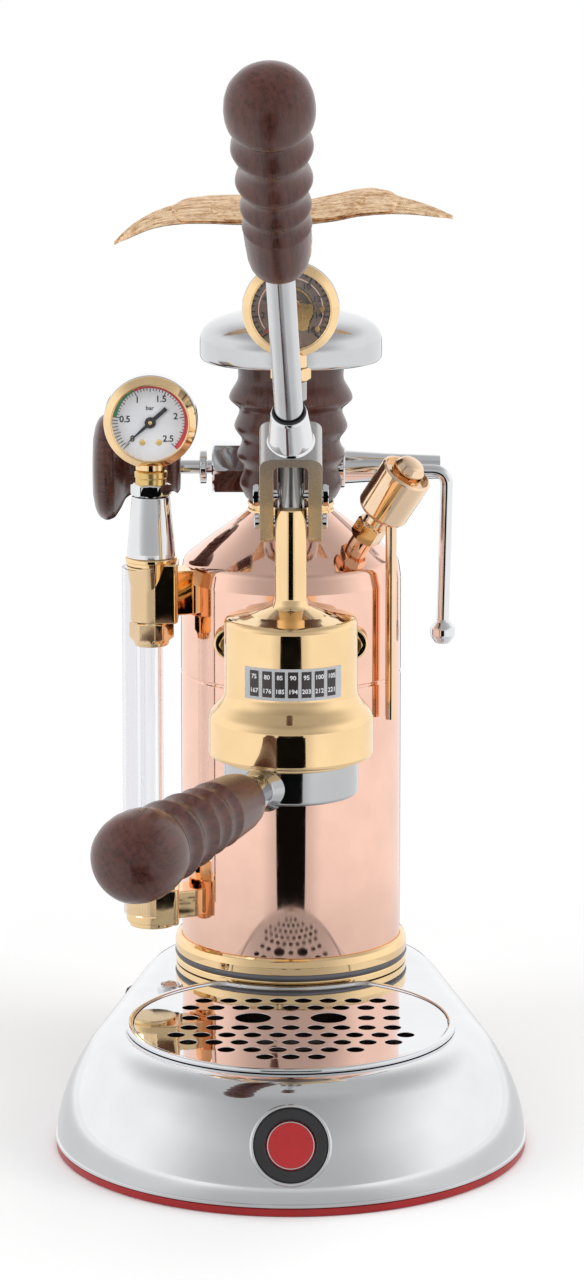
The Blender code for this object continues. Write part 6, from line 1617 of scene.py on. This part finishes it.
class EspressoSightGlass(bpy.types.Operator):
    """Water level glass between its two fittings, with its guard and gauge column"""

    bl_idname = "espresso.sight_glass"
    bl_label = "Sight glass"

    def execute(self, context):
        place = at(*column_centre, 0)
        toward = math.degrees(math.atan2(boiler_centre[1] - column_centre[1], boiler_centre[0] - column_centre[0]))
        block_body = rounded([(8.0, 212.4), (10.2, 212.4, 0.6), (10.2, 238.4, 0.5), (9.4, 238.9), (11.4, 239.3, 0.4),
                              (11.4, 241.2, 0.5), (6.0, 241.2)], 0.5, 5)
        top = turned([(7.0, 212.6), *block_body[-12:]], 72, capped=True)
        piece("top_block", together(top, self.lug(9.4, 12.0, 212.5, 239.2), self.arm(7.0, 17.0, 215.0, 235.0, toward)),
              "gold", "machine", place, stands_for=("sight_top_fitting",), crisp=32)
        foot = rounded([(0.0, 73.6), (10.4, 73.6, 0.7), (10.4, 76.0)], 0.6, 5)
        piece("bottom_block", together(turned(foot, 72), self.lug(11.8, 12.0, 75.6, 92.0),
                                       self.arm(8.4, 17.0, 77.0, 89.4, toward)), "gold", "machine", place,
              stands_for=("sight_bottom_fitting",), crisp=32)
        for name, turn, level, node in (("top_gland", 0, 206.9, "sight_nut_top"),
                                        ("bottom_gland", 180, 96.9, "sight_nut_bottom")):
            ring = rounded([(5.4, -5.5), (7.4, -5.5, 0.6), (8.0, -3.6, 0.4), (8.0, -2.4)], 0.4, 4)
            nut = together(hexagon(9.9, -2.8, 5.5, 0.9, 5.4), turned(ring, 64))
            piece(name, nut, "gold", "machine", place @ at(0, 0, level, (turn, "X")), stands_for=(node,))
        wall = context.scene.espresso_sizes.glass_wall / mm
        tube = [(5.0, 83.2), (5.0, 217.8), (5.0 - wall, 217.8), (5.0 - wall, 83.2)]
        piece("level_tube", turned(tube, 48, loop=True), "glass", "machine", place, stands_for=("sight_glass",))
        self.guard(place, toward)
        cone = rounded([(6.0, 241.2), (10.7, 241.2, 0.5), (10.6, 243.4, 0.8), (8.4, 268.4, 0.4), (6.0, 269.0)], 0.4, 5)
        piece("column_cone", turned(cone, 72, capped=True), "chrome", "machine", place, stands_for=("gauge_column",))
        piece("column_nut", hexagon(9.0, 268.8, 274.2, 0.7), "chrome", "machine", place)
        neck = rounded([(6.9, 274.0), (6.9, 276.6, 0.3), (7.3, 277.2, 0.3), (7.3, 279.6, 0.5), (6.2, 280.4)], 0.4, 4)
        piece("column_neck", turned(neck, 64), "brass", "machine", place)
        return {"FINISHED"}

    def lug(self, radius, right, low, high):
        """The fitting's block: half round on the outer side, flat at its front, back and inner side."""
        outline = arc((0, 0), radius, 90, 270, 30)
        outline += rounded([(0, -radius), (right, -radius, 2.4), (right, radius, 2.4), (0, radius)], 2.4, 8)[1:-1]
        return softened(outline, low, high, 0.8, 0.25)

    def arm(self, radius, reach, low, high, toward):
        """A lug with round ends that runs from the fitting's axis toward the boiler."""
        outline = arc((0, 0), radius, 90, 270, 24) + arc((reach, 0), radius, -90, 90, 24)
        return shifted(softened(outline, low, high, 0.7, 0.2), at(0, 0, 0, (toward, "Z")))

    def guard(self, place, toward):
        """Clear half tube on the outward side."""
        middle = toward + 180
        rings = []
        for reach, z in ((13.0, 79.5), (13.0, 236.7), (11.8, 236.7), (11.8, 79.5)):
            rings.append([(x, y, z) for x, y in arc((0, 0), reach, middle - 76, middle + 76, 28)])
        shape = skin(rings, loop=True, seam=False)
        for end in (0, -1):
            row = [shape.verts.new(Vector((*ring[end][:2], ring[end][2])) * mm) for ring in rings]
            shape.faces.new(row)
        bmesh.ops.remove_doubles(shape, verts=shape.verts, dist=1e-6)
        piece("guard", shape, "clear_guard", "machine", place, stands_for=("sight_guard",), crisp=30)


class EspressoSteamTap(bpy.types.Operator):
    """Steam valve across the boiler's top, its wooden knob and swivelling wand"""

    bl_idname = "espresso.steam_tap"
    bl_label = "Steam tap"

    def execute(self, context):
        along = at(0, 103, tap_height, (90, "Y"))
        body = [
            shifted(hexagon(12.4, -35.9, -14.0, 1.2), at(0, 0, 0, (30, "Z"))),
            turned(rounded([(8.0, -14.2), (10.0, -14.0, 0.4), (10.0, 14.0, 0.6), (9.5, 14.6, 0.3), (9.5, 24.6, 0.9),
                            (6.0, 24.9)], 0.5, 5), 64, capped=True),
            turned(rounded([(3.4, -38.4), (7.6, -38.6, 0.3), (7.6, -41.5, 0.6), (3.4, -41.5)], 0.3, 4), 48),
            swept([(0, 0, 24.0), (0, 0, 30.0), (0, 0, 44.0), (0, 0, 68.0)], [7.7, 7.3, 6.4, 5.4], 40),
        ]
        piece("valve_body", together(*body), "chrome", "machine", along, stands_for=("steam_valve_body",), crisp=32)
        stand = at(0, 103, 0)
        piece("valve_stem", turned(rounded([(6.0, 243.0), (6.0, 264.0)], 0.3), 48), "chrome", "machine", stand)
        piece("valve_nut", hexagon(8.5, 253.0, 259.0, 0.7, 5.8), "chrome", "machine", stand)
        dress(("steam_spindle",), "chrome")
        self.knob()
        self.wand()
        return {"FINISHED"}

    def knob(self):
        """Wooden knob: a ribbed hub and a round cap."""
        side = eased([
            (0.1, 10.4), (1.4, 12.0), (3.4, 11.2), (6.0, 12.4), (9.0, 11.4), (15.0, 11.6), (21.0, 12.2), (24.6, 14.2),
            (27.4, 19.4), (30.4, 23.4), (33.4, 24.3), (36.2, 23.0), (38.4, 19.4), (39.5, 14.0),
        ], 6)
        profile = [(3.4, 0.1)] + [(radius, z) for z, radius in side] + [(7.0, 39.8), (0.0, 39.9)]
        place = at(-50.4, 103, tap_height, (-90, "Y"))
        piece("tap_knob", turned(profile, 96), "wood", "steam_handwheel", place, stands_for=("steam_knob",))

    def wand(self):
        hub = turned(rounded([(2.8, 91.6), (4.6, 91.8, 0.4), (4.6, 100.0, 0.4), (2.8, 100.0)], 0.3, 4), 40)
        path = bent([(56.0, 92.0, tap_height), (70.9, 92.0, tap_height), (69.2, 92.0, 197.5)], 9.0, 12)
        tip = turned(rounded([(2.8, 203.2), (3.4, 202.0, 0.6), (5.6, 199.4, 1.6), (5.6, 195.8, 2.0), (3.2, 192.2, 1.6),
                              (0.0, 191.9)], 0.8, 6), 40)
        tip = shifted(tip, at(69.2, 92.0, 0.0))
        holes = []
        for turn in range(0, 360, 90):
            reach = math.radians(turn)
            spot = (69.2 + 5.0 * math.cos(reach), 92.0 + 5.0 * math.sin(reach), 194.6)
            holes.append(shifted(turned([(0.55, -1.5), (0.55, 1.5)], 12, capped=True),
                                 at(*spot, (turn, "Z"), (52, "Y"))))
        tip = carved(tip, *holes)
        piece("wand_tube", together(swept(path, 2.8, 32), tip), "chrome_bright", "wand", stands_for=("steam_wand",))
        collar = shifted(hub, at(56, 0, tap_height, (-90, "X")))
        piece("wand_joint", collar, "chrome_bright", "wand")


class EspressoSafetyValve(bpy.types.Operator):
    """Rose gilt relief valve and its drain"""

    bl_idname = "espresso.safety_valve"
    bl_label = "Safety valve"

    def execute(self, context):
        foot = Vector((30.1, 46.9, 245.3))
        way = Vector((0.481, -0.337, 0.809)).normalized()
        place = Matrix.Translation(foot * mm) @ way.to_track_quat("Z", "Y").to_matrix().to_4x4()
        stem = [
            turned([(5.0, -2.0), (5.0, 20.0)], 40, capped=True),
            hexagon(7.1, 5.0, 14.0, 0.8),
        ]
        piece("valve_foot", together(*stem), "rose_gold", "machine", place, stands_for=("safety_valve_body",), crisp=32)
        cup = rounded([(4.0, 20.6), (10.4, 20.2, 1.4), (11.75, 22.2, 1.0), (11.75, 43.4, 0.8), (10.6, 44.2, 0.4),
                       (10.2, 43.6, 0.3), (10.2, 41.6, 0.4), (0.0, 41.4)], 0.5, 6)
        dome = rounded([(7.0, 43.9), (7.0, 46.4, 0.6), (5.0, 49.6, 2.4), (0.0, 50.6)], 0.6, 6)
        flats = hexagon(7.0, 41.6, 45.4, 0.5)
        piece("valve_cup", turned(cup, 80), "rose_gold", "machine", place, stands_for=("safety_valve_cap",))
        piece("valve_cap_nut", together(turned(dome, 56), flats), "rose_gold", "machine", place)
        low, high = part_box("drain_tube")
        middle = (low + high) / 2 / mm
        path = bent([(middle.x, middle.y, 169.0), (44.3, 37.0, 246.0), (44.3, 37.0, 257.0)], 4.0, 6)
        tube = swept(path, 2.45, 28, ends=False)
        inner = swept(path, 1.7, 28, ends=False)
        bore = together(tube, inner)
        piece("drain_line", bore, "rose_gold", "machine", stands_for=("drain_tube",))
        return {"FINISHED"}


class EspressoFinishes(bpy.types.Operator):
    """Makes every finish from the panel's colours"""

    bl_idname = "espresso.finishes"
    bl_label = "Finishes"

    def execute(self, context):
        build_finishes(context.scene.espresso_colours)
        return {"FINISHED"}


steps = (
    EspressoFinishes, EspressoStage, EspressoBase, EspressoBaseFittings, EspressoTray, EspressoBoiler, EspressoCap,
    EspressoEagle, EspressoGroup, EspressoPiston, EspressoLever, EspressoPortafilter, EspressoGauges,
    EspressoSightGlass, EspressoSteamTap, EspressoSafetyValve,
)


class EspressoPanel(bpy.types.Panel):
    """Sizes, colours and pieces in the 3D view's sidebar"""

    bl_idname = "ESPRESSO_PT_build"
    bl_label = "Lever espresso machine"
    bl_space_type = "VIEW_3D"
    bl_region_type = "UI"
    bl_category = "Espresso"

    def draw(self, context):
        for step in steps:
            self.layout.operator(step.bl_idname)
        for group in (context.scene.espresso_sizes, context.scene.espresso_colours):
            box = self.layout.box()
            for word in group.__annotations__:
                box.prop(group, word)


classes = (EspressoSizes, EspressoColours, *steps, EspressoPanel)


def register():
    for kind in classes:
        bpy.utils.register_class(kind)
    bpy.types.Scene.espresso_sizes = PointerProperty(type=EspressoSizes)
    bpy.types.Scene.espresso_colours = PointerProperty(type=EspressoColours)


def unregister():
    del bpy.types.Scene.espresso_colours
    del bpy.types.Scene.espresso_sizes
    for kind in reversed(classes):
        bpy.utils.unregister_class(kind)


def main():
    register()
    for step in steps:
        area, word = step.bl_idname.split(".")
        getattr(getattr(bpy.ops, area), word)()


if __name__ == "__main__":
    main()
